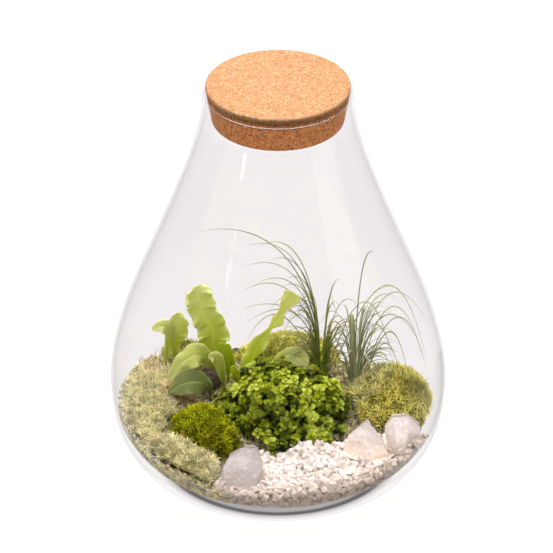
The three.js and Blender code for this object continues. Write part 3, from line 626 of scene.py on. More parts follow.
def agglomerated_cork(colours):
    """Cork granules pressed with binder and sanded: grains of several tans, dark pores, pinkish patches,
    and a painted shade on the side below the top edge.
    """
    material, tree, output = new_material("agglomerated cork")
    place = add_node(tree, "ShaderNodeTexCoord").outputs["Object"]
    grains = add_node(tree, "ShaderNodeTexVoronoi", {"Scale": 1 / (1.5 * MM), "Randomness": 1.0},
                      {"Vector": place})
    fine = add_node(tree, "ShaderNodeTexVoronoi", {"Scale": 1 / (0.8 * MM)}, {"Vector": place})
    patches = add_node(tree, "ShaderNodeTexNoise", {"Scale": 1 / (11 * MM), "Detail": 3.0},
                       {"Vector": place})
    pores = add_node(tree, "ShaderNodeTexNoise", {"Scale": 1 / (1.6 * MM), "Detail": 5.0,
                                                  "Roughness": 0.7}, {"Vector": place})
    grain = add_node(tree, "ShaderNodeSeparateColor", None, {0: grains.outputs["Color"]})
    colour = mixed(tree, grain.outputs[0], colours.cork, hex_colour("#bd8352"))
    light = scaled_share(tree, add_node(tree, "ShaderNodeSeparateColor", None,
                                        {0: fine.outputs["Color"]}).outputs[1], 0.62, 0.95)
    colour = mixed(tree, light, colour, hex_colour("#e2b78c"))
    pink = scaled_share(tree, patches.outputs[0], 0.56, 0.7, 0, 0.4)
    colour = mixed(tree, pink, colour, hex_colour("#c98870"))
    dark = scaled_share(tree, pores.outputs[0], 0.42, 0.33, 0, 0.8)
    colour = mixed(tree, dark, colour, hex_colour("#74462a"))
    # Painted shade: the side below the top edge is multiplied darker and given extra dark flecks, as it
    # faces away from the overhead light
    level = add_node(tree, "ShaderNodeSeparateXYZ", None, {0: place}).outputs[2]
    side = scaled_share(tree, level, (CORK_TOP - 2.4) * MM, (CORK_TOP - 4.2) * MM)
    shaded = mixed(tree, 1.0, colour, hex_colour("#e8ccaa"), "MULTIPLY")
    flecks = scaled_share(tree, pores.outputs[0], 0.5, 0.4, 0, 0.6)
    shaded = mixed(tree, flecks, shaded, hex_colour("#4e2c16"))
    colour = mixed(tree, side, colour, shaded)
    height = add_node(tree, "ShaderNodeMath", {"operation": "MULTIPLY_ADD", 1: 0.5},
                      {0: grains.outputs["Distance"], 2: pores.outputs[0]})
    grain_bump = add_node(tree, "ShaderNodeBump", {"Strength": 0.5, "Distance": 0.5 * MM},
                          {"Height": height.outputs[0]})
    skin = add_node(tree, "ShaderNodeBsdfPrincipled", {"Roughness": 0.85, "Specular IOR Level": 0.25},
                    {"Base Color": colour, "Normal": grain_bump.outputs[0]})
    tree.links.new(skin.outputs[0], output.inputs[0])
    return material


def potting_compost(colours):
    """Peat compost: dark fibrous crumbs, matt, with lighter bits of bark."""
    material, tree, output = new_material("peat compost")
    place = add_node(tree, "ShaderNodeTexCoord").outputs["Object"]
    crumbs = add_node(tree, "ShaderNodeTexVoronoi", {"Scale": 1 / (1.8 * MM)}, {"Vector": place})
    damp = add_node(tree, "ShaderNodeTexNoise", {"Scale": 1 / (9 * MM), "Detail": 5.0}, {"Vector": place})
    colour = mixed(tree, damp.outputs[0], colours.soil, hex_colour("#6a6046"))
    speck = scaled_share(tree, add_node(tree, "ShaderNodeSeparateColor", None,
                                        {0: crumbs.outputs["Color"]}).outputs[0], 0.8, 0.86, 0, 0.6)
    colour = mixed(tree, speck, colour, hex_colour("#8f8460"))
    bumps = add_node(tree, "ShaderNodeBump", {"Strength": 0.8, "Distance": 1 * MM},
                     {"Height": crumbs.outputs["Distance"]})
    skin = add_node(tree, "ShaderNodeBsdfPrincipled", {"Roughness": 0.95, "Specular IOR Level": 0.15},
                    {"Base Color": colour, "Normal": bumps.outputs[0]})
    tree.links.new(skin.outputs[0], output.inputs[0])
    return material


def crushed_marble(colours):
    """Crushed white marble: sugary broken faces, each chip a little warmer or greyer than the next."""
    material, tree, output = new_material("crushed white marble")
    place = add_node(tree, "ShaderNodeTexCoord").outputs["Object"]
    tint = add_node(tree, "ShaderNodeAttribute", {"attribute_name": "tint"}).outputs["Fac"]
    along = add_node(tree, "ShaderNodeAttribute", {"attribute_name": "along"}).outputs["Fac"]
    cloud = add_node(tree, "ShaderNodeTexNoise", {"Scale": 1 / (3 * MM), "Detail": 3.0}, {"Vector": place})
    colour = mixed(tree, scaled_share(tree, tint, 0.55, 1.0), colours.gravel, hex_colour("#c9beb4"))
    colour = mixed(tree, scaled_share(tree, tint, 0.12, 0.0, 0, 0.6), colour, hex_colour("#b0a59a"))
    colour = mixed(tree, scaled_share(tree, cloud.outputs[0], 0.55, 0.7, 0, 0.35), colour,
                   hex_colour("#d0c3b6"))
    # Towards brown-grey where along is low: painted shade and soil on chips deep against the glass, and on
    # the core
    colour = mixed(tree, scaled_share(tree, along, 1.0, 0.0, 0, 0.85), colour, hex_colour("#a18d79"))
    sugar = add_node(tree, "ShaderNodeTexNoise", {"Scale": 1 / (0.5 * MM), "Detail": 2.0},
                     {"Vector": place})
    bumps = add_node(tree, "ShaderNodeBump", {"Strength": 0.25, "Distance": 0.3 * MM},
                     {"Height": sugar.outputs[0]})
    skin = add_node(tree, "ShaderNodeBsdfPrincipled", {"Roughness": 0.55, "Specular IOR Level": 0.4},
                    {"Base Color": colour, "Normal": bumps.outputs[0]})
    tree.links.new(skin.outputs[0], output.inputs[0])
    return material


def broken_marble(name, colours, warmth, lightness):
    """A broken lump of marble: pinkish white facets, faint veins, and a peach tint low on one stone."""
    material, tree, output = new_material(f"broken marble {name}")
    place = add_node(tree, "ShaderNodeTexCoord").outputs["Object"]
    cloud = add_node(tree, "ShaderNodeTexNoise", {"Scale": 1 / (9 * MM), "Detail": 5.0,
                                                  "Distortion": 0.6}, {"Vector": place})
    tone = [min(1, lightness * channel) for channel in colours.stone[:3]]
    duller = [0.82 * tone[0], 0.77 * tone[1], 0.75 * tone[2], 1]
    colour = mixed(tree, scaled_share(tree, cloud.outputs[0], 0.35, 0.65), (*tone, 1), duller)
    veins = add_node(tree, "ShaderNodeTexNoise", {"Scale": 1 / (14 * MM), "Detail": 4.0,
                                                  "Distortion": 2.0}, {"Vector": place})
    band = add_node(tree, "ShaderNodeMath", {"operation": "SUBTRACT", 1: 0.5}, {0: veins.outputs[0]})
    near = add_node(tree, "ShaderNodeMath", {"operation": "ABSOLUTE"}, {0: band.outputs[0]})
    colour = mixed(tree, scaled_share(tree, near.outputs[0], 0.03, 0.0, 0, 0.3), colour,
                   hex_colour("#b8a79e"))
    height = add_node(tree, "ShaderNodeSeparateXYZ", None, {0: place}).outputs[2]
    low = scaled_share(tree, height, 46 * MM, 30 * MM, 0, 0.65 * warmth)
    colour = mixed(tree, low, colour, hex_colour("#f2cfa6"))
    grit = add_node(tree, "ShaderNodeTexNoise", {"Scale": 1 / (0.9 * MM), "Detail": 4.0},
                    {"Vector": place})
    bumps = add_node(tree, "ShaderNodeBump", {"Strength": 0.35, "Distance": 0.5 * MM},
                     {"Height": grit.outputs[0]})
    skin = add_node(tree, "ShaderNodeBsdfPrincipled", {"Roughness": 0.6, "Specular IOR Level": 0.4},
                    {"Base Color": colour, "Normal": bumps.outputs[0]})
    tree.links.new(skin.outputs[0], output.inputs[0])
    return material


def moss_mat(name, deep, mid, tip, dead, spot=None):
    """Live moss: darker down each shoot and on the mat, partly its own older growth and partly painted
    shade between the shoots, brighter to their tips, with patches and a few dry shoots.

    A spot, as a middle and a radius in millimetres, is darker than the rest.
    """
    material, tree, output = new_material(f"moss {name}")
    place = add_node(tree, "ShaderNodeTexCoord").outputs["Object"]
    tint = add_node(tree, "ShaderNodeAttribute", {"attribute_name": "tint"}).outputs["Fac"]
    along = add_node(tree, "ShaderNodeAttribute", {"attribute_name": "along"}).outputs["Fac"]
    patch = add_node(tree, "ShaderNodeTexNoise", {"Scale": 1 / (16 * MM), "Detail": 4.0},
                     {"Vector": place})
    # Deep at each shoot's foot and on the mat: partly older growth, partly painted shade between the shoots
    colour = mixed(tree, scaled_share(tree, along, 0.0, 0.5), deep, mid)
    colour = mixed(tree, scaled_share(tree, along, 0.45, 1.0, 0, 0.9), colour, tip)
    shift = scaled_share(tree, patch.outputs[0], 0.5, 0.66, 0, 0.4)
    colour = mixed(tree, shift, colour, deep)
    if spot:
        middle, radius = spot
        away = add_node(tree, "ShaderNodeVectorMath", {
            "operation": "DISTANCE", 1: [place_mm * MM for place_mm in middle]}, {0: place})
        darker = scaled_share(tree, away.outputs["Value"], 0.5 * radius * MM, 1.2 * radius * MM, 0.8, 0)
        colour = mixed(tree, darker, colour, deep)
    bright = scaled_share(tree, tint, 0.0, 0.9, 0.5, 1.45)
    colour = mixed(tree, 1.0, colour, bright, "MULTIPLY")
    dry = scaled_share(tree, tint, 0.95, 0.97, 0, 0.6)
    colour = mixed(tree, dry, colour, dead)
    skin = add_node(tree, "ShaderNodeBsdfPrincipled", {"Roughness": 0.8, "Specular IOR Level": 0.08},
                    {"Base Color": colour})
    tree.links.new(skin.outputs[0], output.inputs[0])
    return material


def fern_blade(name, low, high, edge):
    """A thin fern blade: satin, deeper green at its foot, paler to its tip, its fine veins only shaded."""
    material, tree, output = new_material(f"fern blade {name}")
    place = add_node(tree, "ShaderNodeTexCoord").outputs["Object"]
    along = add_node(tree, "ShaderNodeAttribute", {"attribute_name": "along"}).outputs["Fac"]
    aside = add_node(tree, "ShaderNodeAttribute", {"attribute_name": "tint"}).outputs["Fac"]
    cloud = add_node(tree, "ShaderNodeTexNoise", {"Scale": 1 / (7 * MM), "Detail": 3.0}, {"Vector": place})
    colour = mixed(tree, scaled_share(tree, along, 0.25, 1.0), low, high)
    colour = mixed(tree, scaled_share(tree, aside, 0.55, 1.0, 0, 0.5), colour, edge)
    colour = mixed(tree, scaled_share(tree, cloud.outputs[0], 0.4, 0.65, 0, 0.3), colour, low)
    rib = scaled_share(tree, aside, 0.1, 0.02, 0, 0.2)
    colour = mixed(tree, rib, colour, hex_colour("#cdd08a"))
    skewed = add_node(tree, "ShaderNodeMath", {"operation": "MULTIPLY_ADD", 1: 0.22},
                      {0: aside, 2: along})
    waves = add_node(tree, "ShaderNodeMath", {"operation": "MULTIPLY", 1: 190.0},
                     {0: skewed.outputs[0]})
    veins = add_node(tree, "ShaderNodeMath", {"operation": "SINE"}, {0: waves.outputs[0]})
    bumps = add_node(tree, "ShaderNodeBump", {"Strength": 0.25, "Distance": 0.25 * MM},
                     {"Height": veins.outputs[0]})
    skin = add_node(tree, "ShaderNodeBsdfPrincipled", {
        "Roughness": 0.5, "Specular IOR Level": 0.2, "Subsurface Weight": 0.6,
        "Subsurface Radius": (1.0, 1.0, 0.3), "Subsurface Scale": 2.5 * MM,
    }, {"Base Color": colour, "Normal": bumps.outputs[0]})
    tree.links.new(skin.outputs[0], output.inputs[0])
    return material


def grass_blade(name, foot, tip):
    """Fine grass: satin blades, deep green at the foot and grey olive to the tip."""
    material, tree, output = new_material(f"grass blade {name}")
    tint = add_node(tree, "ShaderNodeAttribute", {"attribute_name": "tint"}).outputs["Fac"]
    along = add_node(tree, "ShaderNodeAttribute", {"attribute_name": "along"}).outputs["Fac"]
    colour = mixed(tree, scaled_share(tree, along, 0.02, 0.45), foot, tip)
    colour = mixed(tree, scaled_share(tree, along, 0.7, 1.0, 0, 0.5), colour, hex_colour("#a6a38c"))
    bright = scaled_share(tree, tint, 0.0, 1.0, 0.75, 1.2)
    colour = mixed(tree, 1.0, colour, bright, "MULTIPLY")
    skin = add_node(tree, "ShaderNodeBsdfPrincipled", {"Roughness": 0.5, "Specular IOR Level": 0.35},
                    {"Base Color": colour})
    tree.links.new(skin.outputs[0], output.inputs[0])
    return material


def bush_leaf(colours):
    """Small soft leaves: satin, each rosette its own green from yellowish to bluish, paler when young; the
    near-black end of the tints is painted shade and the pale end a painted highlight.
    """
    material, tree, output = new_material("small bush leaf")
    tint = add_node(tree, "ShaderNodeAttribute", {"attribute_name": "tint"}).outputs["Fac"]
    along = add_node(tree, "ShaderNodeAttribute", {"attribute_name": "along"}).outputs["Fac"]
    place = add_node(tree, "ShaderNodeTexCoord").outputs["Object"]
    patch = add_node(tree, "ShaderNodeTexNoise", {"Scale": 1 / (13 * MM), "Detail": 2.0},
                     {"Vector": place})
    # Near-black at the low end of the tint: painted shade; towards #aebb48 at the high end: painted
    # highlight
    colour = mixed(tree, scaled_share(tree, tint, 0.02, 0.6), hex_colour("#0f1800"), colours.bush)
    colour = mixed(tree, scaled_share(tree, tint, 0.6, 0.95, 0, 0.9), colour, hex_colour("#aebb48"))
    cool = scaled_share(tree, patch.outputs[0], 0.55, 0.75, 0, 0.25)
    colour = mixed(tree, cool, colour, hex_colour("#7f9432"))
    colour = mixed(tree, scaled_share(tree, along, 0.0, 0.6, 0.6, 0), colour, hex_colour("#3e5206"))
    skin = add_node(tree, "ShaderNodeBsdfPrincipled", {
        "Roughness": 0.6, "Specular IOR Level": 0.08, "Subsurface Weight": 0.2,
        "Subsurface Radius": (1.0, 1.0, 0.2), "Subsurface Scale": 1.2 * MM,
    }, {"Base Color": colour})
    tree.links.new(skin.outputs[0], output.inputs[0])
    return material


def plain_finish(name, colour, roughness, spread):
    """A matt finish with a slight cloud of lighter and darker places, for stems, litter and the floor."""
    material, tree, output = new_material(name)
    place = add_node(tree, "ShaderNodeTexCoord").outputs["Object"]
    cloud = add_node(tree, "ShaderNodeTexNoise", {"Scale": 1 / (4 * MM), "Detail": 2.0}, {"Vector": place})
    light = scaled_share(tree, cloud.outputs[0], 0.3, 0.7, 1 - spread, 1 + spread)
    shade = mixed(tree, 1.0, colour, light, "MULTIPLY")
    skin = add_node(tree, "ShaderNodeBsdfPrincipled", {"Roughness": roughness}, {"Base Color": shade})
    tree.links.new(skin.outputs[0], output.inputs[0])
    return material


def dress(piece, material, slot, *nodes):
    """Finishes a piece: its material, its body and the CAD nodes that it stands for; its slot is not used.
    """
    piece.data.materials.clear()
    piece.data.materials.append(material)
    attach(piece, BODY)
    if nodes:
        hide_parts(*nodes)


def straight_rod(sides, steps):
    """A rod of length 1 along Z, cut across so that it can bend: its far end comes to a point."""
    bpy.ops.mesh.primitive_cylinder_add(vertices=sides, radius=1, depth=1, location=(0, 0, 0.5))
    rod = named("rod")
    bpy.ops.object.transform_apply(location=True)
    for step in range(1, steps):
        edit_all(rod)
        bpy.ops.mesh.bisect(plane_co=(0, 0, step / steps), plane_no=(0, 0, 1))
    bpy.ops.object.mode_set(mode="OBJECT")
    return Shape(rod)


def make_jar(sizes, colours):
    """Spins the jar's profile, outside, rim and inside, round its axis."""
    outer = spline(JAR_OUTER, 6)
    inner = spline(JAR_INNER, 6)[::-1]
    turn = np.linspace(0.2, math.pi - 0.2, 9)
    rim = np.array(RIM_MIDDLE) + RIM_RADIUS * np.stack([np.cos(turn), np.sin(turn)], axis=1)
    profile = np.vstack([JAR_UNDERSIDE, outer, rim, inner, JAR_FLOOR]) * MM
    mesh = bpy.data.meshes.new("blown_glass_jar")
    edges = [(i, i + 1) for i in range(len(profile) - 1)]
    mesh.from_pydata([(r, 0, z) for r, z in profile], edges, [])
    jar = bpy.data.objects.new("blown_glass_jar", mesh)
    bpy.context.scene.collection.objects.link(jar)
    edit_all(jar)
    bpy.ops.mesh.spin(steps=sizes.jar_segments, angle=2 * math.pi, center=(0, 0, 0), axis=(0, 0, 1))
    bpy.ops.mesh.select_all(action="SELECT")
    bpy.ops.mesh.remove_doubles(threshold=0.01 * MM)
    bpy.ops.mesh.normals_make_consistent(inside=False)
    bpy.ops.object.mode_set(mode="OBJECT")
    smooth(jar, 50)
    dress(jar, blown_glass("wall", colours, WALL_HEAD_ON, WALL_POLISH), "glass", "glass_jar")
    jar.data.materials.append(blown_glass("foot", colours, FOOT_HEAD_ON, FOOT_POLISH))
    jar.data.materials.append(blown_glass("neck", colours, NECK_HEAD_ON, NECK_POLISH))
    jar.data.materials.append(blown_glass("rim", colours, RIM_HEAD_ON, RIM_POLISH))
    for face in jar.data.polygons:
        height = face.center.z / MM
        face.material_index = 1 if height < FOOT_HEIGHT else 0
        if height > NECK_HEIGHT:
            face.material_index = 3 if height > RIM_HEIGHT else 2


def make_cork(sizes, colours):
    """A disc drawn in to its foot, with eased edges and a sanded granular skin."""
    low, high = CORK_RADII
    bpy.ops.mesh.primitive_cylinder_add(
        vertices=96, radius=high * MM, depth=CORK_HEIGHT * MM,
        location=(0, 0, (CORK_TOP - CORK_HEIGHT / 2) * MM))
    cork = named("cork_disc")
    bpy.ops.object.transform_apply(location=True)
    bpy.ops.object.mode_set(mode="EDIT")
    bpy.ops.mesh.select_all(action="DESELECT")
    bpy.ops.mesh.select_mode(type="FACE")
    bpy.ops.object.mode_set(mode="OBJECT")
    for face in cork.data.polygons:
        face.select = face.normal.z < -0.9
    bpy.ops.object.mode_set(mode="EDIT")
    bpy.ops.transform.resize(value=(low / high, low / high, 1))
    bpy.ops.object.mode_set(mode="OBJECT")
    for face in cork.data.polygons:
        face.select = abs(face.normal.z) > 0.9
    bpy.ops.object.mode_set(mode="EDIT")
    bpy.ops.mesh.region_to_loop()
    bpy.ops.mesh.bevel(offset=1.9 * MM, segments=5, affect="EDGES")
    bpy.ops.object.mode_set(mode="OBJECT")
    finish_with(cork, "REMESH", mode="VOXEL", voxel_size=0.7 * MM)
    relief(cork, "VORONOI", 2.0, 0.16)
    smooth(cork)
    dress(cork, agglomerated_cork(colours), "cork", "cork_stopper")


def make_soil(sizes, colours):
    """The planted bed, with a crumbly skin."""
    soil = merged_copy("compost_bed", "potting_soil")
    finish_with(soil, "REMESH", mode="VOXEL", voxel_size=1.5 * MM)
    relief(soil, "CLOUDS", 3.0, 1.3)
    smooth(soil)
    dress(soil, potting_compost(colours), "soil", "potting_soil")


def chip_shapes(draw, count):
    """A few broken chips, each cut from a block by planes."""
    shapes = []
    for _ in range(count):
        bpy.ops.mesh.primitive_cube_add(size=1)
        chip = named("chip")
        bpy.ops.object.mode_set(mode="EDIT")
        bpy.ops.transform.resize(value=(1.25, 0.95, 0.8))
        for _ in range(9):
            normal = unit(draw.normal(size=3))
            bpy.ops.mesh.select_all(action="SELECT")
            bpy.ops.mesh.bisect(plane_co=normal * draw.uniform(0.37, 0.48), plane_no=normal,
                                use_fill=True, clear_outer=True)
        bpy.ops.object.mode_set(mode="OBJECT")
        shapes.append(Shape(chip))
    return shapes


def make_gravel(sizes, colours):
    """Marble chips, thrown at random and kept apart, over a core that closes the gaps between them."""
    draw = np.random.default_rng(31)
    chips = chip_shapes(draw, 6)
    count = 60000
    x = draw.uniform(-48, 112, count)
    y = draw.uniform(-112, -20, count)
    top = gravel_height(x, y) - 0.35 * sizes.chip
    depth = draw.uniform(0, 26, count)
    z = top - depth
    wall = np.interp(z, INNER_WALL[:, 1], INNER_WALL[:, 0]) - np.hypot(x, y)
    half = 0.5 * sizes.chip
    fits = within(GRAVEL_PLAN, x, y) & (wall > half) & (z > 8.5 + half)
    fits &= (depth < CHIP_DEPTH) | (wall < 2.4 * half)
    for name in STONE_PLAN:
        low, high = (np.array(corner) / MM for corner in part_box(f"stone_{name}"))
        aside = np.abs(x - 0.5 * (low[0] + high[0])) < 0.5 * (high[0] - low[0])
        ahead = (y > low[1] - 9) & (y < low[1] + 9)
        fits &= ~(aside & ahead & (z > low[2] + 0.5))
    order = np.argsort(np.where(fits, depth + draw.uniform(0, 6, count), 1e3))[:int(fits.sum())]
    points = np.stack([x, y, z], axis=1)[order]
    points = points[apart(points, 0.62 * sizes.chip)]
    heap = Heap()
    core = merged_copy("gravel_core", "gravel_bed")
    finish_with(core, "REMESH", mode="VOXEL", voxel_size=2.5 * MM)
    finish_with(core, "DISPLACE", strength=-0.85 * sizes.chip * MM, mid_level=0)
    core_shape = Shape(core, unit=MM)
    # The core takes part of that brown-grey: painted shade in the gaps between the chips
    heap.add(core_shape, tints=0.3, along=np.full(len(core_shape.points), 0.5))
    which = draw.integers(0, len(chips), len(points))
    gap = np.interp(points[:, 2], INNER_WALL[:, 1], INNER_WALL[:, 0]) - np.hypot(points[:, 0], points[:, 1])
    depth = gravel_height(points[:, 0], points[:, 1]) - points[:, 2]
    # Chips deep down against the glass keep less of their own colour: partly painted shade, partly soil
    # among them
    shown = 1 - 0.8 * ramp(8 * half, 2 * half, gap) * ramp(-2, 3, depth)
    for kind, chip in enumerate(chips):
        mine = points[which == kind]
        if len(mine):
            turns = tumbled(draw, len(mine), sizes.chip * draw.uniform(0.72, 1.18, len(mine)))
            heap.add(chip, turns, mine, draw.uniform(0, 1, len(mine)), along=shown[which == kind])
    gravel = heap.make("marble_gravel", inside=0.3)
    dress(gravel, crushed_marble(colours), "gravel", "gravel_bed")


def make_stones(sizes, colours):
    """Broken marble lumps, their edges worn and their facets pitted."""
    for name, (warmth, lightness, growth, shift) in STONE_PLAN.items():
        stone = merged_copy(f"marble_lump_{name}", f"stone_{name}")
        low, high = (np.array(corner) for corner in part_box(f"stone_{name}"))
        foot = 0.5 * (low + high)
        foot[2] = low[2]
        points = np.empty(len(stone.data.vertices) * 3)
        stone.data.vertices.foreach_get("co", points)
        points = (foot + (points.reshape(-1, 3) - foot) * growth) / MM + [shift, 0, 0]
        stone.data.vertices.foreach_set("co", (keep_inside(points, 0.8) * MM).ravel())
        finish_with(stone, "BEVEL", width=0.35 * MM, segments=1)
        finish_with(stone, "REMESH", mode="VOXEL", voxel_size=0.42 * MM)
        relief(stone, "CLOUDS", 9.0, 1.4, noise_depth=1)
        relief(stone, "CLOUDS", 2.4, 0.7, noise_depth=2)
        smooth(stone, 32)
        dress(stone, broken_marble(name, colours, warmth, lightness), "stone", f"stone_{name}")


def moss_shoot(draw):
    """A shoot: pointed leaves that spread like a star from one foot."""
    heap = Heap()
    bpy.ops.mesh.primitive_cone_add(vertices=3, radius1=0.14, radius2=0, depth=1, location=(0, 0, 0.5))
    bpy.ops.object.transform_apply(location=True)
    needle = Shape(named("needle"))
    ways = np.arange(6) * 2 * math.pi / 6 + draw.uniform(-0.3, 0.3, 6)
    lean = np.tan(np.radians([58, 50, 62, 46, 55, 52]))
    normals = np.stack([np.cos(ways) * lean, np.sin(ways) * lean, np.ones(6)], axis=1)
    normals = np.vstack([normals, [0.1, 0.05, 1]])
    lengths = np.array([0.9, 1.0, 0.85, 1.0, 0.95, 0.9, 1.05])
    heap.add(needle, standing(normals, ways[[0, 1, 2, 3, 4, 5, 0]], lengths), np.zeros((7, 3)))
    return Shape(heap.make("shoot"), unit=MM)


def plant_shoots(heap, shoots, draw, points, normals, size):
    """Plants a shoot at each point, leaning about the normal there, with its own height and tint."""
    lean = unit(normals + [0, 0, 0.5] + draw.normal(0, 0.3, points.shape))
    tints = draw.uniform(0, 1, len(points))
    heights = size * draw.uniform(0.65, 1.3, len(points))
    kinds = draw.integers(0, len(shoots), len(points))
    for kind, shoot in enumerate(shoots):
        mine = kinds == kind
        turns = standing(lean[mine], draw.uniform(0, 6.3, mine.sum()), heights[mine])
        heap.add(shoot, turns, points[mine] - 0.25 * lean[mine], tints[mine])


def make_moss(sizes, colours):
    """Cushions of fine shoots on a mat in their deepest colour, which is partly painted shade between them.
    """
    draw = np.random.default_rng(7)
    shoots = [moss_shoot(draw) for _ in range(3)]
    finishes = {
        "vivid": moss_mat("vivid", hex_colour("#303600"), colours.moss, hex_colour("#d2d82c"),
                          hex_colour("#b8892a")),
        "olive": moss_mat("olive", hex_colour("#74721a"), hex_colour("#d8d468"), hex_colour("#f8f290"),
                          hex_colour("#b59a44")),
        "straw": moss_mat("straw", hex_colour("#94905c"), hex_colour("#dcd3a4"), hex_colour("#f6efd2"),
                          hex_colour("#c69c7c")),
        "pale": moss_mat("pale", hex_colour("#6c6a2c"), hex_colour("#b9b56c"), hex_colour("#dcd7a0"),
                         hex_colour("#c4a070")),
        "crowned": moss_mat("crowned", hex_colour("#5e580a"), hex_colour("#d6cd68"), hex_colour("#fff9c8"),
                            hex_colour("#b59a44"), ((88, 2, 44), 13)),
    }
    for name, finish in MOSS_PLAN.items():
        mat = merged_copy("mat", f"moss_{name}")
        finish_with(mat, "REMESH", mode="VOXEL", voxel_size=1.7 * MM)
        relief(mat, "CLOUDS", 11.0, 2.6)
        base = Shape(mat, unit=MM)
        heap = Heap()
        heap.add(base, tints=0.5, along=np.zeros(len(base.points)))
        points, normals = surface_points(base, draw, 16000)
        ground = soil_top(points[:, 0], points[:, 1])
        ground = np.where(within(GRAVEL_PLAN, points[:, 0], points[:, 1]),
                          gravel_height(points[:, 0], points[:, 1]), ground)
        shown = (normals[:, 2] > -0.25) & (points[:, 2] > ground - 3)
        points, normals = points[shown], normals[shown]
        chosen = apart(points, sizes.moss_spacing)
        plant_shoots(heap, shoots, draw, points[chosen], normals[chosen], sizes.moss_shoot)
        piece = heap.make(f"moss_cushion_{name}", inside=0.4)
        dress(piece, finishes[finish], "moss", f"moss_{name}")
    make_carpet(sizes, draw, shoots, finishes["straw"])


def make_carpet(sizes, draw, shoots, finish):
    """Low moss over the bare soil, and down its left side against the glass."""
    count = 38000
    x, y = draw.uniform(-100, 88, count), draw.uniform(-98, 62, count)
    ground = np.stack([x, y, soil_top(x, y) - 0.6], axis=1)
    wall = np.interp(ground[:, 2], INNER_WALL[:, 1], INNER_WALL[:, 0]) - np.hypot(x, y)
    bare = ~within(GRAVEL_PLAN, x, y) & (wall > 1.2)
    for name in MOSS_PLAN:
        low, high = (np.array(corner[:2]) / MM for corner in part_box(f"moss_{name}"))
        away = (ground[:, :2] - 0.5 * (low + high)) / (0.5 * (high - low))
        bare &= (away ** 2).sum(axis=1) > 0.6
    away = (ground[:, :2] - [BUSH["x"], BUSH["y"]]) / [BUSH["rx"], BUSH["ry"]]
    bare &= (away ** 2).sum(axis=1) > 0.6
    ways = np.radians(draw.uniform(125, 252, 12000))
    heights = draw.uniform(9.5, 42, 12000)
    radius = np.interp(heights, INNER_WALL[:, 1], INNER_WALL[:, 0]) - 1.2
    side = np.stack([radius * np.cos(ways), radius * np.sin(ways), heights], axis=1)
    above = np.where(side[:, 1] < -20, 5, 0)
    side = side[heights < soil_top(side[:, 0], side[:, 1]) + above]
    points = np.vstack([ground[bare], side])
    normals = np.vstack([np.tile([[0, 0, 1.0]], (bare.sum(), 1)), unit(side * [1, 1, 0])])
    chosen = apart(points, 1.15 * sizes.moss_spacing)
    heap = Heap()
    plant_shoots(heap, shoots, draw, points[chosen], normals[chosen], 0.85 * sizes.moss_shoot)
    dress(heap.make("moss_carpet", inside=0.4), finish, "moss")


def laid_blade(name, plan):
    """A wavy blade laid along its midrib, with fuller lobes and finer ruffles than its outline has."""
    path, left, right, facing, ruffle, waves = plan
    rows = 14 * len(path)
    bpy.ops.mesh.primitive_grid_add(x_subdivisions=16, y_subdivisions=rows, size=2)
    blade = named(f"fern_blade_{name}")
    mesh = blade.data
    flat = np.empty(len(mesh.vertices) * 3)
    mesh.vertices.foreach_get("co", flat)
    flat = flat.reshape(-1, 3)
    u, t = flat[:, 0], (flat[:, 1] + 1) / 2
    curve = spline(path, 16)
    places = np.linspace(0, 1, len(curve))
    spine = np.stack([np.interp(t, places, curve[:, i]) for i in range(3)], axis=1)
    slopes = np.gradient(curve, axis=0)
    tangent = unit(np.stack([np.interp(t, places, slopes[:, i]) for i in range(3)], axis=1))
    across = unit(np.cross(tangent, unit(np.array(facing, float))))
    up = np.cross(across, tangent)
    widths = []
    for values in (left, right):
        steps = spline([(i, value) for i, value in enumerate(values)], 12)
        widths.append(np.interp(t * (len(values) - 1), steps[:, 0], steps[:, 1]))
    half = np.where(u < 0, widths[0], widths[1])
    tip = np.clip((t - 0.9) / 0.1, 0, 1)
    half = half * np.sqrt(1 - 0.92 * tip * tip) + 0.15
    phase = np.where(u < 0, 0, 1.9)
    wave = np.sin(2 * math.pi * waves * t + phase)
    lobes = np.abs(np.sin(math.pi * waves * 1.6 * t + phase)) - 0.6
    frill = np.sin(2 * math.pi * waves * 2.7 * t + 2 * phase)
    body = np.minimum(1, half / 5)
    reach = half * u * (1 + np.abs(u) * (0.04 * wave + 0.13 * lobes * body))
    lift = body * (ruffle * u * u * wave + 0.4 * ruffle * np.abs(u) ** 3 * frill)
    lift = lift - 0.5 * body * np.exp(-(reach / 0.9) ** 2)
    points = spine + across * reach[:, None] + up * lift[:, None]
    mesh.vertices.foreach_set("co", (points * MM).ravel())
    for key, values in (("along", t), ("tint", np.abs(u))):
        mesh.attributes.new(key, "FLOAT", "POINT").data.foreach_set("value", values)
    finish_with(blade, "SOLIDIFY", thickness=0.55 * MM, offset=0.0)
    return blade, curve


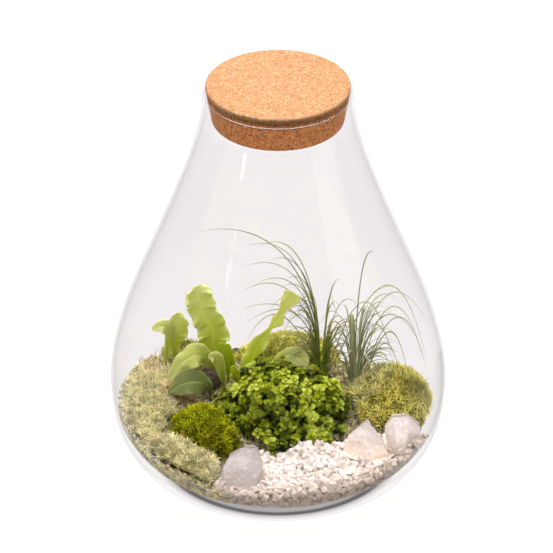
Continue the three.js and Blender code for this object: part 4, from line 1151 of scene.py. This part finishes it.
def make_ferns(sizes, colours):
    """The fern: blades on stalks that rise from the soil round a brown crown."""
    rod = straight_rod(8, 10)
    pale = fern_blade("pale", hex_colour("#9da93e"), colours.fern, hex_colour("#c8cd90"))
    soft = fern_blade("arching", hex_colour("#8a9438"), hex_colour("#adb36c"), hex_colour("#bcc284"))
    deep = fern_blade("deep", hex_colour("#7f9004"), hex_colour("#a4b42c"), hex_colour("#b4c04c"))
    # The shaded blade lies under the arching one, so its colours are darker: painted shade
    painted_shade_finish = fern_blade("shaded", hex_colour("#525c28"), hex_colour("#66703c"), hex_colour("#747c4c"))
    light = fern_blade("light", hex_colour("#a3b02a"), hex_colour("#c2c67c"), hex_colour("#cdd194"))
    finishes = {"upright": deep, "slender": deep, "low_left": deep, "low_right": deep, "right": light,
                "shaded": painted_shade_finish, "arching": soft, "curled": soft}
    for name, plan in FERN_PLAN.items():
        blade, curve = laid_blade(name, plan)
        x, y, z = plan[0][0]
        ground = float(soil_top(x, y))
        route = spline([(x, y, ground - 11), (x, y, ground), (x, y, z - 1), tuple(curve[4]),
                        tuple(curve[10])], 6)
        stalk = bent(rod, route, (1, 0.1, 0), [1.0, 1.0, 1.0, 0.9, 0.4], 0.8)
        heap = Heap()
        heap.add(stalk, tints=0.3, along=0 * stalk.along)
        stem = heap.make("stalk", smooth_faces=True)
        activate(blade)
        stem.select_set(True)
        bpy.ops.object.join()
        smooth(blade)
        nodes = [node for node in (f"fern_frond_{name}",) if node in frame["nodes"]]
        dress(blade, finishes.get(name, pale), "fern", *nodes)
    bpy.ops.mesh.primitive_ico_sphere_add(subdivisions=5, radius=1)
    crown = named("fern_crown")
    bpy.ops.object.mode_set(mode="EDIT")
    bpy.ops.transform.resize(value=[radius * MM for radius in FERN_CROWN["radii"]])
    bpy.ops.transform.translate(value=[place * MM for place in FERN_CROWN["middle"]])
    bpy.ops.object.mode_set(mode="OBJECT")
    relief(crown, "CLOUDS", 5.0, 4.0, noise_depth=3)
    smooth(crown)
    dress(crown, plain_finish("fern crown fibre", hex_colour("#4c4034"), 0.9, 0.4), "soil")


def make_grass(sizes, colours):
    """Two tufts of fine arching blades, each blade laid along its own arc."""
    rod = straight_rod(4, 22)
    finishes = {
        "left": grass_blade("left", hex_colour("#7f9412"), colours.grass),
        "right": grass_blade("right", hex_colour("#8e9a34"), hex_colour("#97985e")),
    }
    t = np.linspace(0, 1, 23)
    for name, plan in GRASS_PLAN.items():
        draw = np.random.default_rng(plan["seed"])
        x, y = plan["foot"]
        ground = float(soil_top(x, y))
        blades = list(plan["blades"])
        for i in range(plan["filler"]):
            peak = draw.uniform(18, 62) if i % 3 else draw.uniform(10, 26)
            way = draw.uniform(150, 215) if (name == "left") == (i % 4 > 0) else draw.uniform(-40, 50)
            blades.append((way, draw.uniform(6, 30), peak * draw.uniform(0.6, 0.98), peak,
                           draw.uniform(0.7, 1.2)))
        heap = Heap()
        for degrees, reach, tip, peak, width in blades:
            way = math.radians(degrees)
            out = np.array([math.cos(way), math.sin(way), 0])
            aside = np.array([-out[1], out[0], 0])
            outward = TUFT_RADIUS * (0.7 - 0.6 * min(1, peak / 90))
            foot = np.array([x, y, ground - 2]) + out * outward + aside * draw.uniform(-2.2, 2.2)
            rise = 2 * (peak + math.sqrt(peak * max(peak - tip, 0)))
            early = 1.75 - 1.05 * min(1, 1.15 * (peak - tip) / peak)
            sway = draw.uniform(-1.5, 1.5) * t * t
            arc = (foot + np.outer(reach * t ** early, out) + np.outer(sway, aside)
                   + np.outer(5.5 * np.minimum(1, 4 * t) + rise * t - (rise - tip) * t * t, [0, 0, 1]))
            half = 0.5 * width * sizes.grass_width
            radii = half * np.clip(1.08 - t ** 3, 0.1, 1)
            heap.add(bent(rod, arc, aside, radii, 0.35), tints=draw.uniform(0, 1))
        cone = bent(rod, [(x, y, ground - 11), (x, y, ground), (x, y, ground + 6), (x, y, ground + 11)],
                    (1, 0, 0), [3.6, 3.8, 3.0, 1.4])
        heap.add(cone, tints=0.1, along=0.1 * cone.along)
        tuft = heap.make(f"grass_blades_{name}", smooth_faces=True, inside=0.4)
        dress(tuft, finishes[name], "grass", f"grass_tuft_{name}")


def small_leaf():
    """A small lobed leaf, slightly cupped, with its foot at the origin and its tip along +Y."""
    bpy.ops.mesh.primitive_uv_sphere_add(segments=14, ring_count=2, radius=1)
    leaf = named("leaf")
    for vertex in leaf.data.vertices:
        x, y, z = vertex.co
        if abs(z) > 0.5:
            vertex.co = (0, 0.56, 0.02 + 0.035 * z)
            continue
        spot = round(math.atan2(x, y) / (2 * math.pi / 14))
        wide, length = LEAF_OUTLINE[abs(spot)]
        vertex.co = (math.copysign(wide, spot), length, 0.3 * wide * wide - 0.12 * length ** 2)
    return Shape(leaf, axis=1)


def leaf_turns(directions, normals, sizes):
    """Turns that point each leaf's Y along a direction, with its upper side to a normal."""
    d = unit(directions)
    side = unit(np.cross(d, normals))
    n = np.cross(side, d)
    return np.stack([side, d, n], axis=-1) * np.reshape(sizes, (-1, 1, 1))


def add_rosettes(heap, leaf, draw, hubs, axes, size, tints):
    """Adds leafy sprig ends: crossed pairs of leaves, smaller and steeper towards the middle."""
    count = len(hubs)
    frames = standing(axes, draw.uniform(0, 2 * math.pi, count), np.ones(count))
    tiers = [(4, 0.0, -10, 1.0, -1.4), (4, 0.78, 12, 0.82, -0.4), (4, 0.35, 40, 0.5, 0.3)]
    for leaves, phase, pitch, share, drop in tiers:
        for i in range(leaves):
            way = phase + 2 * math.pi * i / leaves + draw.normal(0, 0.16, count)
            tilt = np.radians(pitch + draw.normal(0, 9, count))
            local = np.stack([np.cos(way) * np.cos(tilt), np.sin(way) * np.cos(tilt), np.sin(tilt)], 1)
            upper = np.stack([-np.cos(way) * np.sin(tilt), -np.sin(way) * np.sin(tilt), np.cos(tilt)], 1)
            directions = np.einsum("kij,kj->ki", frames, local)
            normals = np.einsum("kij,kj->ki", frames, upper)
            lengths = size * share * draw.uniform(0.85, 1.15, count)
            offsets = hubs + unit(axes) * drop + directions * 0.35
            shade = np.clip(tints + 0.22 * (0.75 - share) + draw.normal(0, 0.17, count), 0, 1)
            heap.add(leaf, leaf_turns(directions, normals, lengths), offsets, shade)


def make_bush(sizes, colours):
    """The bush: sprigs of small toothed leaves all over one rounded outline, in five sprays."""
    draw = np.random.default_rng(19)
    leaf = small_leaf()
    rod = straight_rod(4, 4)
    middle = np.array([BUSH["x"], BUSH["y"], BUSH["foot"] + 3])
    radii = np.array([BUSH["rx"], BUSH["ry"], BUSH["top"]])
    ways = unit(draw.normal(size=(9000, 3)))
    ways = ways[ways[:, 2] > -0.05]
    lumps = 1 + 0.07 * np.sin(5 * ways[:, 0] + 4 * ways[:, 2])
    lumps = lumps + 0.05 * np.sin(9 * ways[:, 0] - 7 * ways[:, 1])
    hubs = middle + ways * radii * (lumps * draw.uniform(0.8, 1.05, len(ways)))[:, None]
    chosen = apart(hubs, sizes.sprig_spacing)
    hubs, ways = hubs[chosen], ways[chosen]
    low = np.array(LOW_SPRIGS, float)
    hubs = np.vstack([hubs, low])
    axes = np.vstack([unit(ways / radii), np.tile([[0, -0.35, 1]], (len(low), 1))])
    axes = unit(axes + [0, 0, 0.45] + draw.normal(0, 0.16, axes.shape))
    inner = middle + unit(draw.normal(size=(1500, 3))) * radii * draw.uniform(0.58, 0.8, (1500, 1))
    inner = inner[inner[:, 2] > soil_top(inner[:, 0], inner[:, 1]) + 2]
    material = bush_leaf(colours)
    names = list(BUSH_SPRAYS)
    centres = np.array([BUSH_SPRAYS[name] for name in names], float)

    def nearest(points):
        gaps = np.linalg.norm(points[:, None, :2] - centres[None], axis=2)
        return gaps.argmin(axis=1)

    owners, inner_owners = nearest(hubs), nearest(inner)
    for index, name in enumerate(names):
        mine = owners == index
        heap = Heap()
        # Each rosette's tint falls at random between the painted shade and the painted highlight
        add_rosettes(heap, leaf, draw, hubs[mine], axes[mine], sizes.leaf,
                     draw.uniform(0.05, 0.9, mine.sum()))
        # Leaves deep inside the bush take the near-black tints: painted shade between the sprigs
        deep = inner[inner_owners == index]
        outward = unit(deep - middle)
        directions = unit(outward + draw.normal(0, 0.6, deep.shape))
        heap.add(leaf, leaf_turns(directions, np.tile([[0.1, -0.3, 1.0]], (len(deep), 1)),
                                  sizes.leaf * draw.uniform(0.9, 1.3, len(deep))),
                 deep, draw.uniform(0, 0.2, len(deep)))
        cx, cy = centres[index]
        ground = float(soil_top(cx, cy))
        for hub, axis in zip(hubs[mine], axes[mine]):
            root = np.array([cx, cy, ground + 1]) + 0.45 * (hub - [cx, cy, ground + 1]) * [1, 1, 0.4]
            root[2] = max(root[2], ground - 1)
            route = spline([root, 0.5 * (root + hub) + [0, 0, 1.5], hub - axis * 2, hub], 3)
            heap.add(bent(rod, route, (1, 0.2, 0), [0.45, 0.35]), tints=0.45, along=rod.along * 0.5)
        stem = bent(rod, [(cx, cy, ground - 11), (cx, cy, ground), (cx, cy, ground + 8),
                          (cx, cy, ground + 16)], (1, 0, 0), [1.4, 1.4, 1.2, 0.9])
        heap.add(stem, tints=0.1, along=0.1 * stem.along)
        spray = heap.make(f"leaf_sprigs_{name}", smooth_faces=True, inside=0.6)
        dress(spray, material, "leaf", f"bush_spray_{name}")


def resting_height(x, y):
    """Height of the soil or moss under a place, and the piece's normal there."""
    best = -1.0
    lean = Vector((0, 0, 1))
    for piece in bpy.data.objects:
        if piece.name == "compost_bed" or piece.name.startswith("moss_c"):
            hit, place, normal, _ = piece.ray_cast(Vector((x, y, 90)) * MM, (0, 0, -1))
            if hit and place.z / MM > best:
                best, lean = place.z / MM, normal
    return best, lean


def make_floor_details(sizes, colours):
    """Small things on the ground: moss hairs with capsules, dry leaf bits, seedlings and a pebble."""
    draw = np.random.default_rng(23)
    rod = straight_rod(4, 6)
    bpy.context.view_layer.update()
    hairs = Heap()
    for _ in range(20):
        x, y = draw.uniform(-93, -78), draw.uniform(8, 44)
        z, _ = resting_height(x, y)
        top = (x + draw.uniform(-3, 2), y - draw.uniform(-2, 3), z + draw.uniform(5, 12))
        mid = (x + draw.uniform(-1, 1), y, 0.5 * (z + top[2]))
        hair = bent(rod, spline([(x, y, z - 2), mid, top], 4), (0, 1, 0), [0.1, 0.1, 0.08, 0.24, 0.14])
        hairs.add(hair, tints=draw.uniform(0, 1))
    piece = hairs.make("moss_capsule_hairs", smooth_faces=True, inside=0.6)
    dress(piece, plain_finish("dry moss stalk", hex_colour("#b98f68"), 0.6, 0.2), "moss")

    flakes = [chip.moved(chip.points * [1.0, 0.55, 0.16]) for chip in chip_shapes(draw, 4)]
    litter = Heap()
    for (cx, cy), (wide, deep), count, length in LITTER:
        for i in range(count):
            x, y = cx + wide * draw.uniform(-1, 1), cy + deep * draw.uniform(-1, 1)
            z, lean = resting_height(x, y)
            tilt = np.array([lean]) + draw.normal(0, 0.25, (1, 3))
            turns = standing(tilt, draw.uniform(0, 6.3, 1), [length * draw.uniform(0.6, 1.3)])
            litter.add(flakes[i % 4], turns, np.array([[x, y, z + 0.4]]), draw.uniform(0, 1))
    piece = litter.make("leaf_litter", inside=0.6)
    dress(piece, plain_finish("dead leaf bits", hex_colour("#96603a"), 0.8, 0.45), "soil")

    sprouts = Heap()
    for cx, cy in SEEDLINGS:
        z, _ = resting_height(cx, cy)
        for _ in range(5):
            way = draw.uniform(0, 2 * math.pi)
            out = np.array([math.cos(way), math.sin(way), 0]) * draw.uniform(2, 5)
            foot = np.array([cx, cy, z - 0.5])
            tip = foot + out + [0, 0, draw.uniform(4, 8)]
            route = spline([foot, foot + 0.35 * out + [0, 0, 3], tip], 4)
            sprouts.add(bent(rod, route, (-out[1], out[0], 0.1), [0.3, 0.5, 0.6, 0.4, 0.1], 0.4),
                        tints=draw.uniform(0.3, 1))
    piece = sprouts.make("grass_seedlings", smooth_faces=True, inside=0.6)
    dress(piece, grass_blade("seedling", hex_colour("#8fa41c"), hex_colour("#b9c25a")), "grass")

    pebble = Heap()
    x, y, _ = PEBBLE
    z, _ = resting_height(x, y)
    pebble.add(chip_shapes(draw, 1)[0], np.eye(3)[None] * 6.5, np.array([[x, y, z + 1.6]]), 0.4,
               along=np.ones(1))
    dress(pebble.make("loose_pebble", inside=0.6), bpy.data.materials["crushed white marble"], "gravel")


def set_card(name, corners, glow, polish=True):
    """A studio card, white or black, that shows only in the polish of the glass or else only shades."""
    bpy.ops.mesh.primitive_plane_add(size=2)
    card = named(name)
    for vertex, corner in zip(card.data.vertices, corners):
        vertex.co = Vector(corner) * MM
    finish_with(card, "SOLIDIFY", thickness=2 * MM)
    material, tree, output = new_material(name)
    skin = add_node(tree, "ShaderNodeBsdfPrincipled", {
        "Base Color": hex_colour("#050505"), "Roughness": 0.9, "Specular IOR Level": 0.0,
        "Emission Color": hex_colour("#fffdfa"), "Emission Strength": glow,
    })
    tree.links.new(skin.outputs[0], output.inputs[0])
    card.data.materials.append(material)
    card.visible_camera = False
    card.visible_transmission = False
    card.visible_glossy = polish
    card.visible_diffuse = not polish
    card.visible_shadow = not polish


def set_dome():
    """A dome that lights the polish of the glass: white behind the jar, fading out round its sides."""
    bpy.ops.mesh.primitive_uv_sphere_add(segments=48, ring_count=24, radius=DOME_RADIUS * MM)
    dome = named("studio_dome")
    material, tree, output = new_material("studio dome")
    place = add_node(tree, "ShaderNodeTexCoord").outputs["Object"]
    behind = add_node(tree, "ShaderNodeSeparateXYZ", None, {0: place}).outputs[1]
    low, high = DOME_FADE
    share = add_node(tree, "ShaderNodeMapRange", {
        "interpolation_type": "SMOOTHSTEP", 1: low * DOME_RADIUS * MM, 2: high * DOME_RADIUS * MM,
        3: 0.0, 4: DOME_GLOW,
    }, {0: behind})
    below, level, least = DOME_LOW
    height = add_node(tree, "ShaderNodeSeparateXYZ", None, {0: place}).outputs[2]
    dimming = scaled_share(tree, height, below * DOME_RADIUS * MM, level * DOME_RADIUS * MM, least, 1)
    glow = add_node(tree, "ShaderNodeMath", {"operation": "MULTIPLY"}, {0: share.outputs[0], 1: dimming})
    skin = add_node(tree, "ShaderNodeBsdfPrincipled", {
        "Base Color": hex_colour("#050505"), "Roughness": 0.9, "Specular IOR Level": 0.0,
        "Emission Color": hex_colour("#fffdfb"),
    }, {"Emission Strength": glow.outputs[0]})
    tree.links.new(skin.outputs[0], output.inputs[0])
    dome.data.materials.append(material)
    smooth(dome)
    dome.visible_camera = False
    dome.visible_transmission = False
    dome.visible_diffuse = False
    dome.visible_shadow = False


def make_stage():
    """A white floor, soft lights, reflector cards and the camera at the photograph's angle."""
    bpy.ops.mesh.primitive_circle_add(vertices=128, radius=3.2, fill_type="NGON", location=(0, 0, -0.0004))
    floor = named("studio_floor")
    bpy.ops.object.transform_apply(location=True)
    bpy.ops.object.mode_set(mode="EDIT")
    bpy.ops.mesh.select_all(action="SELECT")
    bpy.ops.mesh.extrude_region_move(TRANSFORM_OT_translate={"value": (0, 0, -0.02)})
    bpy.ops.mesh.select_all(action="SELECT")
    bpy.ops.mesh.normals_make_consistent(inside=False)
    bpy.ops.object.mode_set(mode="OBJECT")
    material, tree, output = new_material("opal light table")
    # The painted shade and the painted contact-shadow line under the foot are drawn here, and aren't a part
    # of the jar
    place = add_node(tree, "ShaderNodeTexCoord").outputs["Object"]
    away = add_node(tree, "ShaderNodeVectorMath", {"operation": "LENGTH"}, {0: place})
    edge = JAR_OUTER[0][0]
    glow = scaled_share(tree, away.outputs["Value"], (edge - FOOT_SHADE_LIFT) * MM, edge * MM,
                        FOOT_SHADE * FLOOR_GLOW, FLOOR_GLOW)
    off_line = add_node(tree, "ShaderNodeMath", {"operation": "SUBTRACT", 1: FOOT_SHADOW_LINE * MM},
                        {0: away.outputs["Value"]})
    gap = add_node(tree, "ShaderNodeMath", {"operation": "ABSOLUTE"}, {0: off_line.outputs[0]})
    near, far = FOOT_SHADOW_LINE_REACH
    shadow_line = scaled_share(tree, gap.outputs[0], near * MM, far * MM, FOOT_SHADOW_LINE_SHARE, 1)
    glow = add_node(tree, "ShaderNodeMath", {"operation": "MULTIPLY"}, {0: glow, 1: shadow_line}).outputs[0]
    skin = add_node(tree, "ShaderNodeBsdfPrincipled", {
        "Base Color": hex_colour("#3a3a3a"), "Roughness": 0.9, "Specular IOR Level": 0.0,
        "Emission Color": hex_colour("#fffefc"),
    }, {"Emission Strength": glow})
    tree.links.new(skin.outputs[0], output.inputs[0])
    floor.data.materials.append(material)
    floor.visible_glossy = False

    for name, corners, glow in CARDS:
        set_card(name, corners, glow)
    set_card("front flag", FRONT_FLAG, 0, polish=False)
    set_dome()

    world = bpy.data.worlds.new("studio")
    world.use_nodes = True
    sky = world.node_tree.nodes["Background"]
    sky.inputs[0].default_value = hex_colour("#fffefc")
    path = add_node(world.node_tree, "ShaderNodeLightPath")
    seen = scaled_share(world.node_tree, path.outputs["Is Transmission Ray"], 0, 1, WORLD_LIGHT, WORLD_SEEN)
    world.node_tree.links.new(seen, sky.inputs[1])
    world.cycles_visibility.glossy = False
    bpy.context.scene.world = world

    for name, spot, (width, height), power, aim in LIGHTS:
        light = bpy.data.lights.new(name, "AREA")
        light.shape = "RECTANGLE"
        light.size, light.size_y = width, height
        light.energy = power
        lamp = bpy.data.objects.new(name, light)
        bpy.context.scene.collection.objects.link(lamp)
        lamp.location = spot
        way = Vector(aim) - Vector(spot)
        lamp.rotation_euler = way.to_track_quat("-Z", "Y").to_euler()

    tilt = math.radians(CAMERA_ELEVATION)
    camera = bpy.data.cameras.new("camera")
    camera.lens = CAMERA_LENS
    camera.clip_end = 20
    view = bpy.data.objects.new("camera", camera)
    bpy.context.scene.collection.objects.link(view)
    back = Vector((0, -math.cos(tilt), math.sin(tilt))) * CAMERA_DISTANCE * MM
    view.location = Vector(CAMERA_TARGET) * MM + back
    view.rotation_euler = (math.pi / 2 - tilt, 0, 0)
    scene = bpy.context.scene
    scene.camera = view
    scene.view_settings.view_transform = "Standard"
    scene.cycles.max_bounces = LIGHT_BOUNCES
    scene.cycles.glossy_bounces = LIGHT_BOUNCES
    scene.cycles.transmission_bounces = LIGHT_BOUNCES


class TerrariumSizes(bpy.types.PropertyGroup):
    """Sizes that a user would change, in millimetres."""

    jar_segments: IntProperty(
        name="Jar segments", description="Flat steps round the jar", default=256, min=32, max=512)
    chip: FloatProperty(
        name="Chip size", description="Length of a marble chip in millimetres", default=4.4, min=2, max=12)
    moss_shoot: FloatProperty(
        name="Moss shoot", description="Height of a moss shoot in millimetres", default=3.8, min=1, max=8)
    moss_spacing: FloatProperty(
        name="Moss spacing", description="Gap between moss shoots in millimetres", default=2.1, min=1,
        max=5)
    leaf: FloatProperty(
        name="Leaf length", description="Length of a bush leaf in millimetres", default=5.2, min=2, max=12)
    sprig_spacing: FloatProperty(
        name="Sprig spacing", description="Gap between leafy sprigs in millimetres", default=6.0, min=3,
        max=12)
    grass_width: FloatProperty(
        name="Grass width", description="Share of the planned blade width", default=1.3, min=0.3, max=2)


class TerrariumColours(bpy.types.PropertyGroup):
    """Colours that a user would change."""

    glass: FloatVectorProperty(
        name="Glass", description="Tint of each glass wall", subtype="COLOR", size=4,
        default=hex_colour("#fefdfe"), min=0, max=1)
    cork: FloatVectorProperty(
        name="Cork", description="Main colour of the cork granules", subtype="COLOR", size=4,
        default=hex_colour("#cf9a6d"), min=0, max=1)
    soil: FloatVectorProperty(
        name="Soil", description="Colour of damp compost", subtype="COLOR", size=4,
        default=hex_colour("#3b3420"), min=0, max=1)
    gravel: FloatVectorProperty(
        name="Gravel", description="Colour of fresh marble chips", subtype="COLOR", size=4,
        default=hex_colour("#dcd3cb"), min=0, max=1)
    stone: FloatVectorProperty(
        name="Stone", description="Colour of the marble stones", subtype="COLOR", size=4,
        default=hex_colour("#f8f1ec"), min=0, max=1)
    moss: FloatVectorProperty(
        name="Moss", description="Colour of the brightest moss cushion", subtype="COLOR", size=4,
        default=hex_colour("#a4a80c"), min=0, max=1)
    fern: FloatVectorProperty(
        name="Fern", description="Colour of the fern blades", subtype="COLOR", size=4,
        default=hex_colour("#bcc286"), min=0, max=1)
    grass: FloatVectorProperty(
        name="Grass", description="Colour of the long grass blades", subtype="COLOR", size=4,
        default=hex_colour("#96975c"), min=0, max=1)
    bush: FloatVectorProperty(
        name="Bush", description="Colour of the bush's leaves", subtype="COLOR", size=4,
        default=hex_colour("#8a9816"), min=0, max=1)


def build(context, maker):
    """Runs a maker with the scene's sizes and colours, from a clean selection."""
    clear_selection()
    maker(context.scene.terrarium_sizes, context.scene.terrarium_colours)
    clear_selection()
    return {"FINISHED"}


class TERRARIUM_OT_jar(bpy.types.Operator):
    """Models the blown glass jar"""

    bl_idname = "terrarium.jar"
    bl_label = "Glass Jar"

    def execute(self, context):
        return build(context, make_jar)


class TERRARIUM_OT_cork(bpy.types.Operator):
    """Models the cork stopper"""

    bl_idname = "terrarium.cork"
    bl_label = "Cork Stopper"

    def execute(self, context):
        return build(context, make_cork)


class TERRARIUM_OT_soil(bpy.types.Operator):
    """Models the compost bed"""

    bl_idname = "terrarium.soil"
    bl_label = "Compost Bed"

    def execute(self, context):
        return build(context, make_soil)


class TERRARIUM_OT_gravel(bpy.types.Operator):
    """Models the gravel of marble chips"""

    bl_idname = "terrarium.gravel"
    bl_label = "Marble Gravel"

    def execute(self, context):
        return build(context, make_gravel)


class TERRARIUM_OT_stones(bpy.types.Operator):
    """Models the three broken marble stones"""

    bl_idname = "terrarium.stones"
    bl_label = "Marble Stones"

    def execute(self, context):
        return build(context, make_stones)


class TERRARIUM_OT_moss(bpy.types.Operator):
    """Models the six moss cushions"""

    bl_idname = "terrarium.moss"
    bl_label = "Moss Cushions"

    def execute(self, context):
        return build(context, make_moss)


class TERRARIUM_OT_ferns(bpy.types.Operator):
    """Models the fern's blades"""

    bl_idname = "terrarium.ferns"
    bl_label = "Fern Blades"

    def execute(self, context):
        return build(context, make_ferns)


class TERRARIUM_OT_grass(bpy.types.Operator):
    """Models the two grass tufts"""

    bl_idname = "terrarium.grass"
    bl_label = "Grass Tufts"

    def execute(self, context):
        return build(context, make_grass)


class TERRARIUM_OT_bush(bpy.types.Operator):
    """Models the bush's five leafy sprays"""

    bl_idname = "terrarium.bush"
    bl_label = "Leafy Bush"

    def execute(self, context):
        return build(context, make_bush)


class TERRARIUM_OT_details(bpy.types.Operator):
    """Models the small things on the ground"""

    bl_idname = "terrarium.details"
    bl_label = "Ground Details"

    def execute(self, context):
        return build(context, make_floor_details)


class TERRARIUM_OT_stage(bpy.types.Operator):
    """Sets the floor, the lights and the camera"""

    bl_idname = "terrarium.stage"
    bl_label = "Studio Stage"

    def execute(self, context):
        clear_selection()
        make_stage()
        return {"FINISHED"}


OPERATORS = (
    TERRARIUM_OT_jar, TERRARIUM_OT_cork, TERRARIUM_OT_soil, TERRARIUM_OT_gravel, TERRARIUM_OT_stones,
    TERRARIUM_OT_moss, TERRARIUM_OT_ferns, TERRARIUM_OT_grass, TERRARIUM_OT_bush, TERRARIUM_OT_details,
    TERRARIUM_OT_stage,
)


class TERRARIUM_PT_panel(bpy.types.Panel):
    """Lists the terrarium's sizes, colours and pieces"""

    bl_idname = "TERRARIUM_PT_panel"
    bl_label = "Glass Terrarium"
    bl_space_type = "VIEW_3D"
    bl_region_type = "UI"
    bl_category = "Terrarium"

    def draw(self, context):
        layout = self.layout
        for group in (context.scene.terrarium_sizes, context.scene.terrarium_colours):
            box = layout.box()
            for key in group.__annotations__:
                box.prop(group, key)
        for operator in OPERATORS:
            layout.operator(operator.bl_idname)


CLASSES = (TerrariumSizes, TerrariumColours, *OPERATORS, TERRARIUM_PT_panel)


def register():
    for item in CLASSES:
        bpy.utils.register_class(item)
    bpy.types.Scene.terrarium_sizes = PointerProperty(type=TerrariumSizes)
    bpy.types.Scene.terrarium_colours = PointerProperty(type=TerrariumColours)


def unregister():
    del bpy.types.Scene.terrarium_colours
    del bpy.types.Scene.terrarium_sizes
    for item in reversed(CLASSES):
        bpy.utils.unregister_class(item)


def main():
    """Builds the pieces in order."""
    register()
    bpy.ops.terrarium.stage()
    bpy.ops.terrarium.jar()
    bpy.ops.terrarium.cork()
    bpy.ops.terrarium.soil()
    bpy.ops.terrarium.gravel()
    bpy.ops.terrarium.stones()
    bpy.ops.terrarium.moss()
    bpy.ops.terrarium.ferns()
    bpy.ops.terrarium.grass()
    bpy.ops.terrarium.bush()
    bpy.ops.terrarium.details()


if __name__ == "__main__":
    main()
